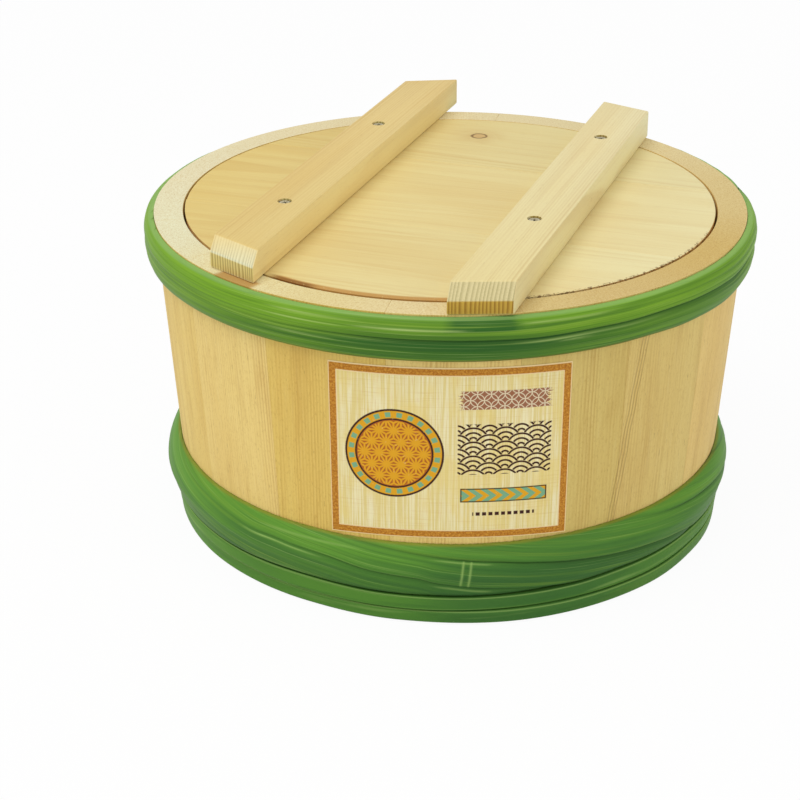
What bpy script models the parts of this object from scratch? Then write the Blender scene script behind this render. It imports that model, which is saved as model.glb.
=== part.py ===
import math

import bmesh
import bpy
from mathutils import Vector

# A small staved miso barrel: sixteen tapered staves round a two-board bottom, two twisted green
# hoops, a paper label and a drop-in lid of three boards held by two battens.
# Metres. The origin is on the tub's axis, on the surface that it stands on. The label faces -Y.
# An azimuth runs from -Y towards +X.

# Clearances
FIT = 0.0003  # between pieces that touch or are glued
STRAND_PLAY = 0.0004  # between neighbouring strands, at their band's hollow
LID_PLAY = 0.0011  # round the lid, measured at the rim
BOTTOM_PLAY = 0.0005  # round the bottom, in the groove of the staves

# Tub
TUB_HEIGHT = 0.1136
RIM_RADIUS = 0.105
BASE_RADIUS = 0.0976
STAVE_THICKNESS = 0.0102
STAVE_COUNT = 16
STAVE_FACETS = 3
STAVE_UNEVENNESS = math.radians(1.2)  # staves are planed by hand, so their seams wander
UNEVEN_PERIODS = 4

# Bottom
BOTTOM_RECESS = 0.008
BOTTOM_THICKNESS = 0.009
GROOVE_DEPTH = 0.002
TONGUE_THICKNESS = 0.005
BOTTOM_TURN = math.radians(20)
BOTTOM_STEPS = 48

# Dowels
DOWEL_RADIUS = 0.0015
DOWEL_LENGTH = 0.020
DOWEL_SIDES = 12
BOTTOM_DOWEL_OFFSET = 0.045
LID_DOWEL_OFFSET = 0.020

# Upper hoop: three strands laid round one another
UPPER_HOOP_DROP = 0.0005  # its top edge lies this far below the rim
UPPER_HOOP_HEIGHT = 0.0170
UPPER_HOOP_DEPTH = 0.0042
UPPER_HOOP_ROUNDNESS = 3.4
UPPER_HOOP_HOLLOW = 0.0012
UPPER_HOOP_STRANDS = 3
UPPER_HOOP_TURNS = 1
UPPER_HOOP_SWAY = 0.92  # how unevenly the twist runs round the tub: 0 is even
UPPER_HOOP_CALM = math.radians(-25)  # the azimuth where the twist is slowest
UPPER_HOOP_START = 0.335  # place of the first groove, as a share of the way round the section

# Lower hoop: four strands laid round one another, over two plain ones
FOOT_GAP = 0.0005  # the hoop stops this far above the ground, so the staves carry the tub
FOOT_STRAND_HEIGHT = 0.0038
FOOT_STRAND_DEPTH = 0.0042
MIDDLE_STRAND_HEIGHT = 0.0052
MIDDLE_STRAND_DEPTH = 0.0038
PLAIN_STRAND_ROUNDNESS = 4.0
LOWER_BAND_HEIGHT = 0.0194
LOWER_BAND_DEPTH = 0.0059
LOWER_BAND_ROUNDNESS = 2.3
LOWER_BAND_HOLLOW = 0.0020
LOWER_BAND_STRANDS = 4
LOWER_BAND_TURNS = 2
LOWER_BAND_SWAY = 0.3
LOWER_BAND_CALM = 0.0
LOWER_BAND_START = 0.148

# Strands. An outline's roundness is its exponent: 2 is an ellipse, and more is squarer.
STRAND_RIDGE = 0.0008  # how far a strand's crown stands above its edges
STRAND_POINTS = 6
HOLLOW_INSET = 0.75  # from a band's edge to the bend of its hollow, as a share of the band's depth

# Label
LABEL_WIDTH = 0.0796
LABEL_MARGIN_BELOW = 0.0006  # from the lower hoop to its lower corners
LABEL_MARGIN_ABOVE = 0.0011  # from the middle of its upper edge to the upper hoop
LABEL_THICKNESS = 0.0003
LABEL_TOP_BOW = 0.0008  # how far its upper corners hang below the middle of that edge
LABEL_BOTTOM_BOW = 0.0017
LABEL_STEPS = 8

# Lid
LID_THICKNESS = 0.009
LID_TURN = math.radians(72)  # the battens' direction, from +X towards +Y
LID_SET_BACK = 0.0005
LID_STEPS = 48
LID_SEAMS = (-0.030, 0.038)  # along the battens, from the lid's centre

# Battens
LEFT_BATTEN_WIDTH = 0.0194
RIGHT_BATTEN_WIDTH = 0.0197
BATTEN_THICKNESS = 0.010
LEFT_BATTEN_OVERHANG = 0.0010  # past the rim at both ends, along its middle line, before its shift
RIGHT_BATTEN_OVERHANG = 0.0006
BATTEN_OFFSET = 0.0424  # from the lid's centre to its middle line
BATTEN_PAIR_OFFSET = 0.0011
LEFT_BATTEN_TURN = math.radians(-0.65)  # the two are not quite parallel
RIGHT_BATTEN_TURN = 0.0
LEFT_END_SKEW = math.radians(25)
RIGHT_END_SKEW = math.radians(20)
LEFT_BATTEN_SHIFT = 0.0054
RIGHT_BATTEN_SHIFT = -0.0004
LEFT_NOSE_HEIGHT = 0.0053  # upright part of the front end, under its bevel
LEFT_NOSE_RUN = 0.0038
RIGHT_NOSE_HEIGHT = 0.0044
RIGHT_NOSE_RUN = 0.003

# Screws
SCREW_HEAD_RADIUS = 0.0022
SCREW_HEAD_HEIGHT = 0.0022
SCREW_HEAD_EDGE = 0.0003
SCREW_RADIUS = 0.0011
SCREW_LENGTH = 0.0150
SCREW_TIP = 0.0030
SCREW_SINK = 0.0005
SCREW_STEPS = 16
SCREW_SPACING = 0.092
LEFT_SCREWS_CENTRE = -0.001
RIGHT_SCREWS_CENTRE = 0.0096
CUTTER_RISE = 0.004

# Colours: linear red, green and blue, then roughness and metallic
STAVE_LOOK = ((0.72, 0.50, 0.20), 0.6, 0.0)
BOTTOM_LOOK = ((0.68, 0.47, 0.20), 0.6, 0.0)
LID_LOOK = ((0.75, 0.56, 0.25), 0.6, 0.0)
BATTEN_LOOK = ((0.76, 0.58, 0.27), 0.6, 0.0)
DOWEL_LOOK = ((0.55, 0.40, 0.18), 0.6, 0.0)
HOOP_LOOK = ((0.10, 0.27, 0.04), 0.3, 0.0)
PAPER_LOOK = ((0.80, 0.70, 0.40), 0.8, 0.0)
SCREW_LOOK = ((0.55, 0.52, 0.45), 0.35, 1.0)


def clear_scene():
    for item in list(bpy.data.objects):
        bpy.data.objects.remove(item, do_unlink=True)


def make_collection(name):
    made = bpy.data.collections.new(name)
    bpy.context.scene.collection.children.link(made)
    return made


def make_material(name, look):
    colour, roughness, metallic = look
    made = bpy.data.materials.new(name)
    made.use_nodes = True
    shader = made.node_tree.nodes["Principled BSDF"]
    shader.inputs["Base Color"].default_value = (*colour, 1)
    shader.inputs["Roughness"].default_value = roughness
    shader.inputs["Metallic"].default_value = metallic
    made.diffuse_color = (*colour, 1)
    return made


def make_object(name, shape, look, smooth=False):
    """Turns a bmesh into a named piece with its own material, in the barrel's collection."""
    bmesh.ops.recalc_face_normals(shape, faces=shape.faces[:])
    mesh = bpy.data.meshes.new(name)
    shape.to_mesh(mesh)
    shape.free()
    if smooth:
        mesh.shade_smooth()
        mesh.set_sharp_from_angle(angle=math.radians(35))
    mesh.materials.append(make_material(name, look))
    made = bpy.data.objects.new(name, mesh)
    barrel.objects.link(made)
    return made


def make_cutter(name, shape):
    bmesh.ops.recalc_face_normals(shape, faces=shape.faces[:])
    mesh = bpy.data.meshes.new(name)
    shape.to_mesh(mesh)
    shape.free()
    made = bpy.data.objects.new(name, mesh)
    cutters.objects.link(made)
    made.hide_render = True
    made.display_type = "WIRE"
    return made


def cut(piece, cutter):
    boolean = piece.modifiers.new(cutter.name, "BOOLEAN")
    boolean.operation = "DIFFERENCE"
    boolean.object = cutter


def wood_radius(z):
    """Outer radius of the staves at height z."""
    return BASE_RADIUS + (RIM_RADIUS - BASE_RADIUS) * z / TUB_HEIGHT


def inner_radius(z):
    return wood_radius(z) - STAVE_THICKNESS


def at_azimuth(azimuth, radius, z):
    return Vector((radius * math.sin(azimuth), -radius * math.cos(azimuth), z))


def seam_azimuth(number):
    turns, index = divmod(number, STAVE_COUNT)
    even = (index + 0.5) * math.tau / STAVE_COUNT
    wander = STAVE_UNEVENNESS * math.cos(math.tau * UNEVEN_PERIODS * index / STAVE_COUNT)
    return turns * math.tau + even + wander


def ring_azimuths():
    """The azimuths of the staves' facet edges, which the hoops share so that they lie evenly on them."""
    azimuths = []
    for number in range(STAVE_COUNT):
        start = seam_azimuth(number)
        width = seam_azimuth(number + 1) - start
        azimuths += [start + width * step / STAVE_FACETS for step in range(STAVE_FACETS)]
    return azimuths


def stave_profile():
    """The stave's section in radius and height, with the groove that holds the bottom."""
    tongue_centre = BOTTOM_RECESS + BOTTOM_THICKNESS / 2
    groove_low = tongue_centre - TONGUE_THICKNESS / 2 - FIT
    groove_high = tongue_centre + TONGUE_THICKNESS / 2 + FIT
    return [
        (inner_radius(0), 0),
        (wood_radius(0), 0),
        (wood_radius(TUB_HEIGHT), TUB_HEIGHT),
        (inner_radius(TUB_HEIGHT), TUB_HEIGHT),
        (inner_radius(groove_high), groove_high),
        (inner_radius(groove_high) + GROOVE_DEPTH, groove_high),
        (inner_radius(groove_low) + GROOVE_DEPTH, groove_low),
        (inner_radius(groove_low), groove_low),
    ]


def build_stave(number):
    gap = FIT / inner_radius(0)
    start = seam_azimuth(number) + gap / 2
    width = seam_azimuth(number + 1) - seam_azimuth(number) - gap
    shape = bmesh.new()
    corners = [shape.verts.new(at_azimuth(start, r, z)) for r, z in stave_profile()]
    face = shape.faces.new(corners)
    bmesh.ops.spin(
        shape,
        geom=[face, *face.edges, *face.verts],
        cent=(0, 0, 0),
        axis=(0, 0, 1),
        angle=width,
        steps=STAVE_FACETS,
    )
    return make_object(f"stave_{number + 1:02d}", shape, STAVE_LOOK)


def turned(profile, steps):
    """A solid of revolution about Z from a profile that starts and ends on the axis."""
    shape = bmesh.new()
    points = [shape.verts.new((r, 0, z)) for r, z in profile]
    edges = [shape.edges.new(pair) for pair in zip(points, points[1:])]
    bmesh.ops.spin(
        shape, geom=points + edges, cent=(0, 0, 0), axis=(0, 0, 1), angle=math.tau, steps=steps, use_merge=True
    )
    bmesh.ops.remove_doubles(shape, verts=shape.verts[:], dist=0.00001)
    return shape


def trim(shape, point, normal):
    """Cuts away what lies on the normal's side of a plane, and closes the cut."""
    everything = shape.verts[:] + shape.edges[:] + shape.faces[:]
    bmesh.ops.bisect_plane(shape, geom=everything, plane_co=point, plane_no=normal, clear_outer=True)
    rim = [edge for edge in shape.edges if edge.is_boundary]
    bmesh.ops.contextual_create(shape, geom=rim)


def rod(radius, length, sides):
    """A cylinder along X, centred on the origin."""
    shape = bmesh.new()
    bmesh.ops.create_cone(shape, cap_ends=True, segments=sides, radius1=radius, radius2=radius, depth=length)
    for vertex in shape.verts:
        x, y, z = vertex.co
        vertex.co = (z, y, -x)
    return shape


def add_dowel(name, parent, place, boards):
    """A bamboo pin along the parent's X, in a blind hole in each of the two boards that it joins."""
    pin = make_object(name, rod(DOWEL_RADIUS, DOWEL_LENGTH, DOWEL_SIDES), DOWEL_LOOK, smooth=True)
    hole = make_cutter(f"{name}_hole", rod(DOWEL_RADIUS + FIT, DOWEL_LENGTH + 2 * FIT, DOWEL_SIDES))
    for item in (pin, hole):
        item.parent = parent
        item.location = place
    for board in boards:
        cut(board, hole)


def build_bottom():
    axis = bpy.data.objects.new("bottom_axis", None)
    barrel.objects.link(axis)
    axis.rotation_euler.z = BOTTOM_TURN
    low = BOTTOM_RECESS
    high = low + BOTTOM_THICKNESS
    middle = (low + high) / 2
    tongue_low = middle - TONGUE_THICKNESS / 2
    tongue_high = middle + TONGUE_THICKNESS / 2
    tongue_radius = inner_radius(tongue_low) + GROOVE_DEPTH - BOTTOM_PLAY
    profile = [
        (0, high),
        (inner_radius(tongue_high) - BOTTOM_PLAY, high),
        (inner_radius(tongue_high) - BOTTOM_PLAY, tongue_high),
        (tongue_radius, tongue_high),
        (tongue_radius, tongue_low),
        (inner_radius(low) - BOTTOM_PLAY, tongue_low),
        (inner_radius(low) - BOTTOM_PLAY, low),
        (0, low),
    ]
    boards = []
    for name, side in (("bottom_board_left", -1), ("bottom_board_right", 1)):
        shape = turned(profile, BOTTOM_STEPS)
        trim(shape, (side * FIT / 2, 0, 0), (-side, 0, 0))
        board = make_object(name, shape, BOTTOM_LOOK)
        board.parent = axis
        boards.append(board)
    for number, side in ((1, -1), (2, 1)):
        add_dowel(f"bottom_dowel_{number}", axis, (0, side * BOTTOM_DOWEL_OFFSET, middle), boards)


def path_point(path, share):
    """The point at this share of a path's length."""
    lengths = [(b - a).length for a, b in zip(path, path[1:])]
    left = share * sum(lengths)
    for start, end, length in zip(path, path[1:], lengths):
        if left <= length:
            return start.lerp(end, left / length)
        left -= length
    return path[-1]


def loop_point(halves, share):
    """The point at this share of a loop that is given as its outer half, then its inner half."""
    share %= 1
    return path_point(halves[0], 2 * share) if share < 0.5 else path_point(halves[1], 2 * share - 1)


def loop_length(halves):
    return sum((b - a).length for path in halves for a, b in zip(path, path[1:]))


def skin_point(half, depth, roundness, turn):
    """A point of a band's rounded outer face. The turn runs from its top to its bottom."""
    out = depth * math.sin(turn) ** (2 / roundness)
    rise = half * math.copysign(abs(math.cos(turn)) ** (2 / roundness), math.cos(turn))
    return Vector((out, rise))


class Section:
    """A twisted band's section, as depth out from the staves and rise from the band's middle.

    The strands fill the space between two loops, the band's skin and the hollow in its middle.
    Each loop starts at its top, runs down its outer side and comes back up its inner side.
    """

    def __init__(self, height, depth, roundness, hollow):
        half = height / 2
        middle = math.asin(0.5 ** (roundness / 2))
        steps = 40
        turns = [middle + (math.pi - 2 * middle) * step / steps for step in range(steps + 1)]
        outer = [skin_point(half, depth, roundness, turn) for turn in turns]
        above = [skin_point(half, depth, roundness, middle * step / 4) for step in range(5)]
        below = [Vector((point.x, -point.y)) for point in reversed(above)]
        self.skin = (outer, below + above)
        radius = hollow / 2
        bends = [math.pi / 2 * step / 4 for step in range(5)]
        reach = half - HOLLOW_INSET * depth
        cap = [Vector((radius * math.sin(bend), reach + radius * math.cos(bend))) for bend in bends]
        right = cap + [Vector((point.x, -point.y)) for point in reversed(cap)]
        left = [-point for point in right]
        centre = Vector((depth / 2, 0))
        self.core = tuple([centre + point for point in side] for side in (right, left))

    def strand(self, start, end):
        """One strand's outline between two shares: along its crowned skin and back along the hollow."""
        skin_gap = FIT / 2 / loop_length(self.skin)
        core_gap = STRAND_PLAY / 2 / loop_length(self.core)
        outline = []
        for step in range(STRAND_POINTS + 1):
            portion = step / STRAND_POINTS
            skin = loop_point(self.skin, start + skin_gap + (end - start - 2 * skin_gap) * portion)
            core = loop_point(self.core, start + core_gap + (end - start - 2 * core_gap) * portion)
            edge = abs(2 * portion - 1) ** 4
            outline.append(skin + (core - skin).normalized() * STRAND_RIDGE * edge)
        for share in (end - core_gap, (start + end) / 2, start + core_gap):
            outline.append(loop_point(self.core, share))
        return outline


def build_loop(name, outlines, middle):
    """A closed ring that passes through one outline for each azimuth of the staves' facets."""
    shape = bmesh.new()
    rings = []
    for azimuth, outline in zip(ring_azimuths(), outlines):
        ring = []
        for out, rise in outline:
            z = middle + rise
            ring.append(shape.verts.new(at_azimuth(azimuth, wood_radius(z) + FIT + out, z)))
        rings.append(ring)
    count = len(rings[0])
    for number, ring in enumerate(rings):
        following = rings[(number + 1) % len(rings)]
        for a in range(count):
            b = (a + 1) % count
            # Neighbouring strands face each other across one wall, split along the same diagonal.
            if b == 0:
                shape.faces.new((ring[a], ring[b], following[a]))
                shape.faces.new((ring[b], following[b], following[a]))
            else:
                shape.faces.new((ring[a], ring[b], following[b]))
                shape.faces.new((ring[a], following[b], following[a]))
    return make_object(name, shape, HOOP_LOOK, smooth=True)


def lay(start, turns, sway, calm):
    """How far round its section a band's first groove has come, for each azimuth."""

    def travel(azimuth):
        return start + (turns * azimuth - sway * math.sin(azimuth - calm)) / math.tau

    return travel


def build_twist(name, section, middle, strands, travel):
    """Strands laid round one another: each one's place on the section travels with the azimuth."""
    for number in range(strands):
        outlines = []
        for azimuth in ring_azimuths():
            start = travel(azimuth) + number / strands
            outlines.append(section.strand(start, start + 1 / strands))
        build_loop(f"{name}_{number + 1}", outlines, middle)


def build_upper_hoop():
    """Returns the height of the hoop's lower edge."""
    section = Section(UPPER_HOOP_HEIGHT, UPPER_HOOP_DEPTH, UPPER_HOOP_ROUNDNESS, UPPER_HOOP_HOLLOW)
    middle = TUB_HEIGHT - UPPER_HOOP_DROP - UPPER_HOOP_HEIGHT / 2
    travel = lay(UPPER_HOOP_START, UPPER_HOOP_TURNS, UPPER_HOOP_SWAY, UPPER_HOOP_CALM)
    build_twist("upper_hoop_strand", section, middle, UPPER_HOOP_STRANDS, travel)
    return middle - UPPER_HOOP_HEIGHT / 2


def build_plain_strand(name, base, height, depth):
    """A strand whose rounded section stays the same all the way round. Returns its top."""
    steps = STRAND_POINTS + 2
    turns = [math.pi * step / steps for step in range(1, steps)]
    points = [skin_point(height / 2, depth, PLAIN_STRAND_ROUNDNESS, turn) for turn in turns]
    outline = [Vector((0, height / 2)), *points, Vector((0, -height / 2))]
    build_loop(name, [outline] * len(ring_azimuths()), base + height / 2)
    return base + height


def build_lower_hoop():
    """Returns the height of the hoop's upper edge."""
    top = build_plain_strand("lower_hoop_foot_strand", FOOT_GAP, FOOT_STRAND_HEIGHT, FOOT_STRAND_DEPTH)
    base = top + FIT
    top = build_plain_strand("lower_hoop_middle_strand", base, MIDDLE_STRAND_HEIGHT, MIDDLE_STRAND_DEPTH)
    section = Section(LOWER_BAND_HEIGHT, LOWER_BAND_DEPTH, LOWER_BAND_ROUNDNESS, LOWER_BAND_HOLLOW)
    middle = top + FIT + LOWER_BAND_HEIGHT / 2
    travel = lay(LOWER_BAND_START, LOWER_BAND_TURNS, LOWER_BAND_SWAY, LOWER_BAND_CALM)
    build_twist("lower_hoop_strand", section, middle, LOWER_BAND_STRANDS, travel)
    return middle + LOWER_BAND_HEIGHT / 2


def build_label(floor, ceiling):
    """A sheet on the staves' cone between the hoops, with both of its long edges slightly bowed."""
    low = floor + LABEL_MARGIN_BELOW + LABEL_BOTTOM_BOW
    high = ceiling - LABEL_MARGIN_ABOVE
    shape = bmesh.new()
    bmesh.ops.create_grid(shape, x_segments=LABEL_STEPS, y_segments=1, size=1)
    for vertex in shape.verts:
        across, up, _ = vertex.co
        edge, bow = (high, LABEL_TOP_BOW) if up > 0 else (low, LABEL_BOTTOM_BOW)
        z = edge - bow * across**2
        radius = wood_radius(z) + FIT
        vertex.co = at_azimuth(across * LABEL_WIDTH / 2 / radius, radius, z)
    sheet = make_object("label", shape, PAPER_LOOK, smooth=True)
    if sheet.data.polygons[0].normal.y > 0:
        sheet.data.flip_normals()
    paper = sheet.modifiers.new("paper", "SOLIDIFY")
    paper.thickness = LABEL_THICKNESS
    paper.offset = 1


def screw_profile(gap, rise):
    """From the axis at the top, down the outside, to the tip. A hole adds its gap and rises past the head."""
    head = SCREW_HEAD_RADIUS + gap
    shank = SCREW_RADIUS + gap
    return [
        (0, rise),
        (head, rise),
        (head, -SCREW_HEAD_EDGE),
        (shank, -SCREW_HEAD_HEIGHT),
        (shank, SCREW_TIP - SCREW_LENGTH),
        (0, -SCREW_LENGTH - gap),
    ]


def add_screw(name, parent, place, pieces):
    body = make_object(name, turned(screw_profile(0, 0), SCREW_STEPS), SCREW_LOOK, smooth=True)
    hole = make_cutter(f"{name}_hole", turned(screw_profile(FIT, CUTTER_RISE), SCREW_STEPS))
    for item in (body, hole):
        item.parent = parent
        item.location = place
    for piece in pieces:
        cut(piece, hole)


def build_lid_boards(axis):
    """Three boards cut from one tapered disc across the battens. The top is level with the rim."""
    top_radius = inner_radius(TUB_HEIGHT) - LID_PLAY
    low_radius = inner_radius(TUB_HEIGHT - LID_THICKNESS) - LID_PLAY
    boards = []
    edges = (None, *LID_SEAMS, None)
    for name, start, end in zip(("lid_board_front", "lid_board_middle", "lid_board_back"), edges, edges[1:]):
        shape = bmesh.new()
        bmesh.ops.create_cone(
            shape,
            cap_ends=True,
            segments=LID_STEPS,
            radius1=low_radius,
            radius2=top_radius,
            depth=LID_THICKNESS,
        )
        bmesh.ops.translate(shape, verts=shape.verts[:], vec=(0, 0, -LID_THICKNESS / 2))
        if start is not None:
            trim(shape, (start + FIT / 2, 0, 0), (-1, 0, 0))
        if end is not None:
            trim(shape, (end - FIT / 2, 0, 0), (1, 0, 0))
        board = make_object(name, shape, LID_LOOK)
        board.parent = axis
        boards.append(board)
    number = 0
    for seam, pair in zip(LID_SEAMS, zip(boards, boards[1:])):
        for side in (-1, 1):
            number += 1
            place = (seam, side * LID_DOWEL_OFFSET, -LID_THICKNESS / 2)
            add_dowel(f"lid_dowel_{number}", axis, place, pair)
    return boards


def batten_axis(name, parent, across, turn):
    """The middle line of a batten, on the lid's top."""
    axis = bpy.data.objects.new(name, None)
    barrel.objects.link(axis)
    axis.parent = parent
    axis.location.y = across
    axis.rotation_euler.z = turn
    return axis


def build_batten(name, axis, side, width, length, shift, skew, nose):
    """A bar across the lid boards. Its inner side is the longer one, and its front end is bevelled."""
    nose_run, nose_height = nose
    inner = -side * width / 2
    slant = width / 2 * math.tan(skew)
    long_half = length / 2 + slant
    short_half = length / 2 - slant
    plan = [(-long_half, inner), (long_half, inner), (short_half, -inner), (-short_half, -inner)]
    shape = bmesh.new()
    base = shape.faces.new([shape.verts.new((x + shift, y, FIT)) for x, y in plan])
    raised = bmesh.ops.extrude_face_region(shape, geom=[base], use_keep_orig=True)
    lifted = [item for item in raised["geom"] if isinstance(item, bmesh.types.BMVert)]
    bmesh.ops.translate(shape, verts=lifted, vec=(0, 0, BATTEN_THICKNESS))
    outward = Vector((-math.cos(skew), side * math.sin(skew), 0))
    corner = Vector((shift - long_half, inner, FIT + nose_height))
    trim(shape, corner, outward * (BATTEN_THICKNESS - nose_height) + Vector((0, 0, nose_run)))
    batten = make_object(name, shape, BATTEN_LOOK)
    batten.parent = axis
    return batten


def build_lid():
    axis = bpy.data.objects.new("lid_axis", None)
    barrel.objects.link(axis)
    axis.location = (0, LID_SET_BACK, TUB_HEIGHT)
    axis.rotation_euler.z = LID_TURN
    boards = build_lid_boards(axis)
    head_height = FIT + BATTEN_THICKNESS - SCREW_SINK
    for hand, side, width, turn, shift, overhang, skew, nose, screws_centre in (
        (
            "left",
            1,
            LEFT_BATTEN_WIDTH,
            LEFT_BATTEN_TURN,
            LEFT_BATTEN_SHIFT,
            LEFT_BATTEN_OVERHANG,
            LEFT_END_SKEW,
            (LEFT_NOSE_RUN, LEFT_NOSE_HEIGHT),
            LEFT_SCREWS_CENTRE,
        ),
        (
            "right",
            -1,
            RIGHT_BATTEN_WIDTH,
            RIGHT_BATTEN_TURN,
            RIGHT_BATTEN_SHIFT,
            RIGHT_BATTEN_OVERHANG,
            RIGHT_END_SKEW,
            (RIGHT_NOSE_RUN, RIGHT_NOSE_HEIGHT),
            RIGHT_SCREWS_CENTRE,
        ),
    ):
        across = side * BATTEN_OFFSET + BATTEN_PAIR_OFFSET
        line = batten_axis(f"{hand}_batten_axis", axis, across, turn)
        length = 2 * (math.sqrt(RIM_RADIUS**2 - across**2) + overhang)
        batten = build_batten(f"{hand}_batten", line, side, width, length, shift, skew, nose)
        for end, way in (("front", -1), ("back", 1)):
            place = (screws_centre + way * SCREW_SPACING / 2, 0, head_height)
            add_screw(f"{hand}_batten_{end}_screw", line, place, (batten, *boards))


clear_scene()
barrel = make_collection("miso_barrel")
cutters = make_collection("cutters")
for stave in range(STAVE_COUNT):
    build_stave(stave)
build_bottom()
label_ceiling = build_upper_hoop()
label_floor = build_lower_hoop()
build_label(label_floor, label_ceiling)
build_lid()
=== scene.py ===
import math
import random

import bmesh
import bpy
from mathutils import Matrix, Vector


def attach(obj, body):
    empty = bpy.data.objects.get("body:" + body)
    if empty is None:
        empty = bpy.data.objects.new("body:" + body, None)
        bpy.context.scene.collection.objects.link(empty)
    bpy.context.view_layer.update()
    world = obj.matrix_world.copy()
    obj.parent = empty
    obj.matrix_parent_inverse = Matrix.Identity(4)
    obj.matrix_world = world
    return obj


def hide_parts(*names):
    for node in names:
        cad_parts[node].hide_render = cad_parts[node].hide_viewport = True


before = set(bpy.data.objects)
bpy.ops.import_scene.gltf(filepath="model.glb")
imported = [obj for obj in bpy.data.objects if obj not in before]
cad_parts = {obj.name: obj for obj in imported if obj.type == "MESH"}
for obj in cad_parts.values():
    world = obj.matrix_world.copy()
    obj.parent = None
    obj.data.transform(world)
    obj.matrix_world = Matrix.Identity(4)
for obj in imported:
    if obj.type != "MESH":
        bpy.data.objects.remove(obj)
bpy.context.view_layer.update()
print("frame:", len(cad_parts), "nodes")

# Metres, +Z up, the label faces -Y. An azimuth runs from -Y towards +X.
upwards = Vector((0, 0, 1))


def rgb(red, green, blue):  # a screen colour, 0 to 255, as linear light
    def linear(level):
        level /= 255
        return level / 12.92 if level <= 0.04045 else ((level + 0.055) / 1.055) ** 2.4

    return (linear(red), linear(green), linear(blue), 1)


# Shader sums


def operator(operation, reflected=False):
    def run(self, other):
        pair = (other, self) if reflected else (self, other)
        return self.finish.maths(operation, *pair)

    return run


def function(operation):
    return lambda self, *others: self.finish.maths(operation, self, *others)


class Value:  # a node's output that takes part in Python sums
    def __init__(self, finish, socket):
        self.finish = finish
        self.socket = socket

    __add__ = operator("ADD")
    __radd__ = operator("ADD", True)
    __sub__ = operator("SUBTRACT")
    __rsub__ = operator("SUBTRACT", True)
    __mul__ = operator("MULTIPLY")
    __rmul__ = operator("MULTIPLY", True)
    __truediv__ = operator("DIVIDE")
    __gt__ = operator("GREATER_THAN")
    __lt__ = operator("LESS_THAN")
    __abs__ = function("ABSOLUTE")
    root = function("SQRT")
    fraction = function("FRACT")
    wrapped = function("FLOORED_MODULO")
    least = function("MINIMUM")
    most = function("MAXIMUM")
    bearing = function("ARCTAN2")


class Finish:  # one material and the nodes in it
    def __init__(self, name, constants):
        self.material = bpy.data.materials.new(name)
        self.material.use_nodes = True
        self.tree = self.material.node_tree
        self.surface = self.tree.nodes["Principled BSDF"]
        for socket, value in constants.items():
            self.surface.inputs[socket].default_value = value

    def node(self, kind, sockets={}, output=0, **settings):
        made = self.tree.nodes.new(kind)
        for key, value in settings.items():
            setattr(made, key, value)
        for key, value in sockets.items():
            if isinstance(value, Value):
                self.tree.links.new(value.socket, made.inputs[key])
            else:
                made.inputs[key].default_value = value
        return Value(self, made.outputs[output])

    def maths(self, operation, *values):
        return self.node("ShaderNodeMath", dict(enumerate(values)), operation=operation)

    def attribute(self, name, output="Vector"):
        return self.node("ShaderNodeAttribute", output=output, attribute_name=name)

    def place(self):
        return self.node("ShaderNodeTexCoord", output="Object")

    def facing(self, direction):  # how squarely the surface faces along a direction
        normal = self.node("ShaderNodeNewGeometry", output="Normal")
        return self.node("ShaderNodeVectorMath", {0: normal, 1: direction}, "Value", operation="DOT_PRODUCT")

    def split(self, vector):
        return [self.node("ShaderNodeSeparateXYZ", {0: vector}, axis) for axis in "XYZ"]

    def join(self, x, y, z):
        return self.node("ShaderNodeCombineXYZ", {0: x, 1: y, 2: z})

    def noise(self, vector, factors, detail=2.0, roughness=0.5):  # factors in cycles per metre
        stretched = self.node("ShaderNodeVectorMath", {0: vector, 1: factors}, operation="MULTIPLY")
        sockets = {"Vector": stretched, "Scale": 1.0, "Detail": detail, "Roughness": roughness}
        return self.node("ShaderNodeTexNoise", sockets)

    def step(self, value, low, high):  # rises smoothly from 0 at low to 1 at high
        return self.node("ShaderNodeMapRange", {0: value, 1: low, 2: high}, interpolation_type="SMOOTHSTEP")

    def mix(self, factor, first, second, blend="MIX"):
        return self.node("ShaderNodeMix", {0: factor, 6: first, 7: second}, 2, data_type="RGBA", blend_type=blend)

    def layered(self, colour, *layers):  # a layer is how much of it there is, and its colour
        for share, added in layers:
            colour = self.mix(share, colour, added)
        return colour

    def bump(self, height, distance, strength):
        return self.node("ShaderNodeBump", {"Height": height, "Distance": distance, "Strength": strength})

    def feed(self, socket, value):
        self.tree.links.new(value.socket, self.surface.inputs[socket])


# Wood. Its rings, fibres and pores fill the whole board, so the end grain matches the faces.
# woodPlace is a point's place in the tree: two directions across it from the pith, then along it.

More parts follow.
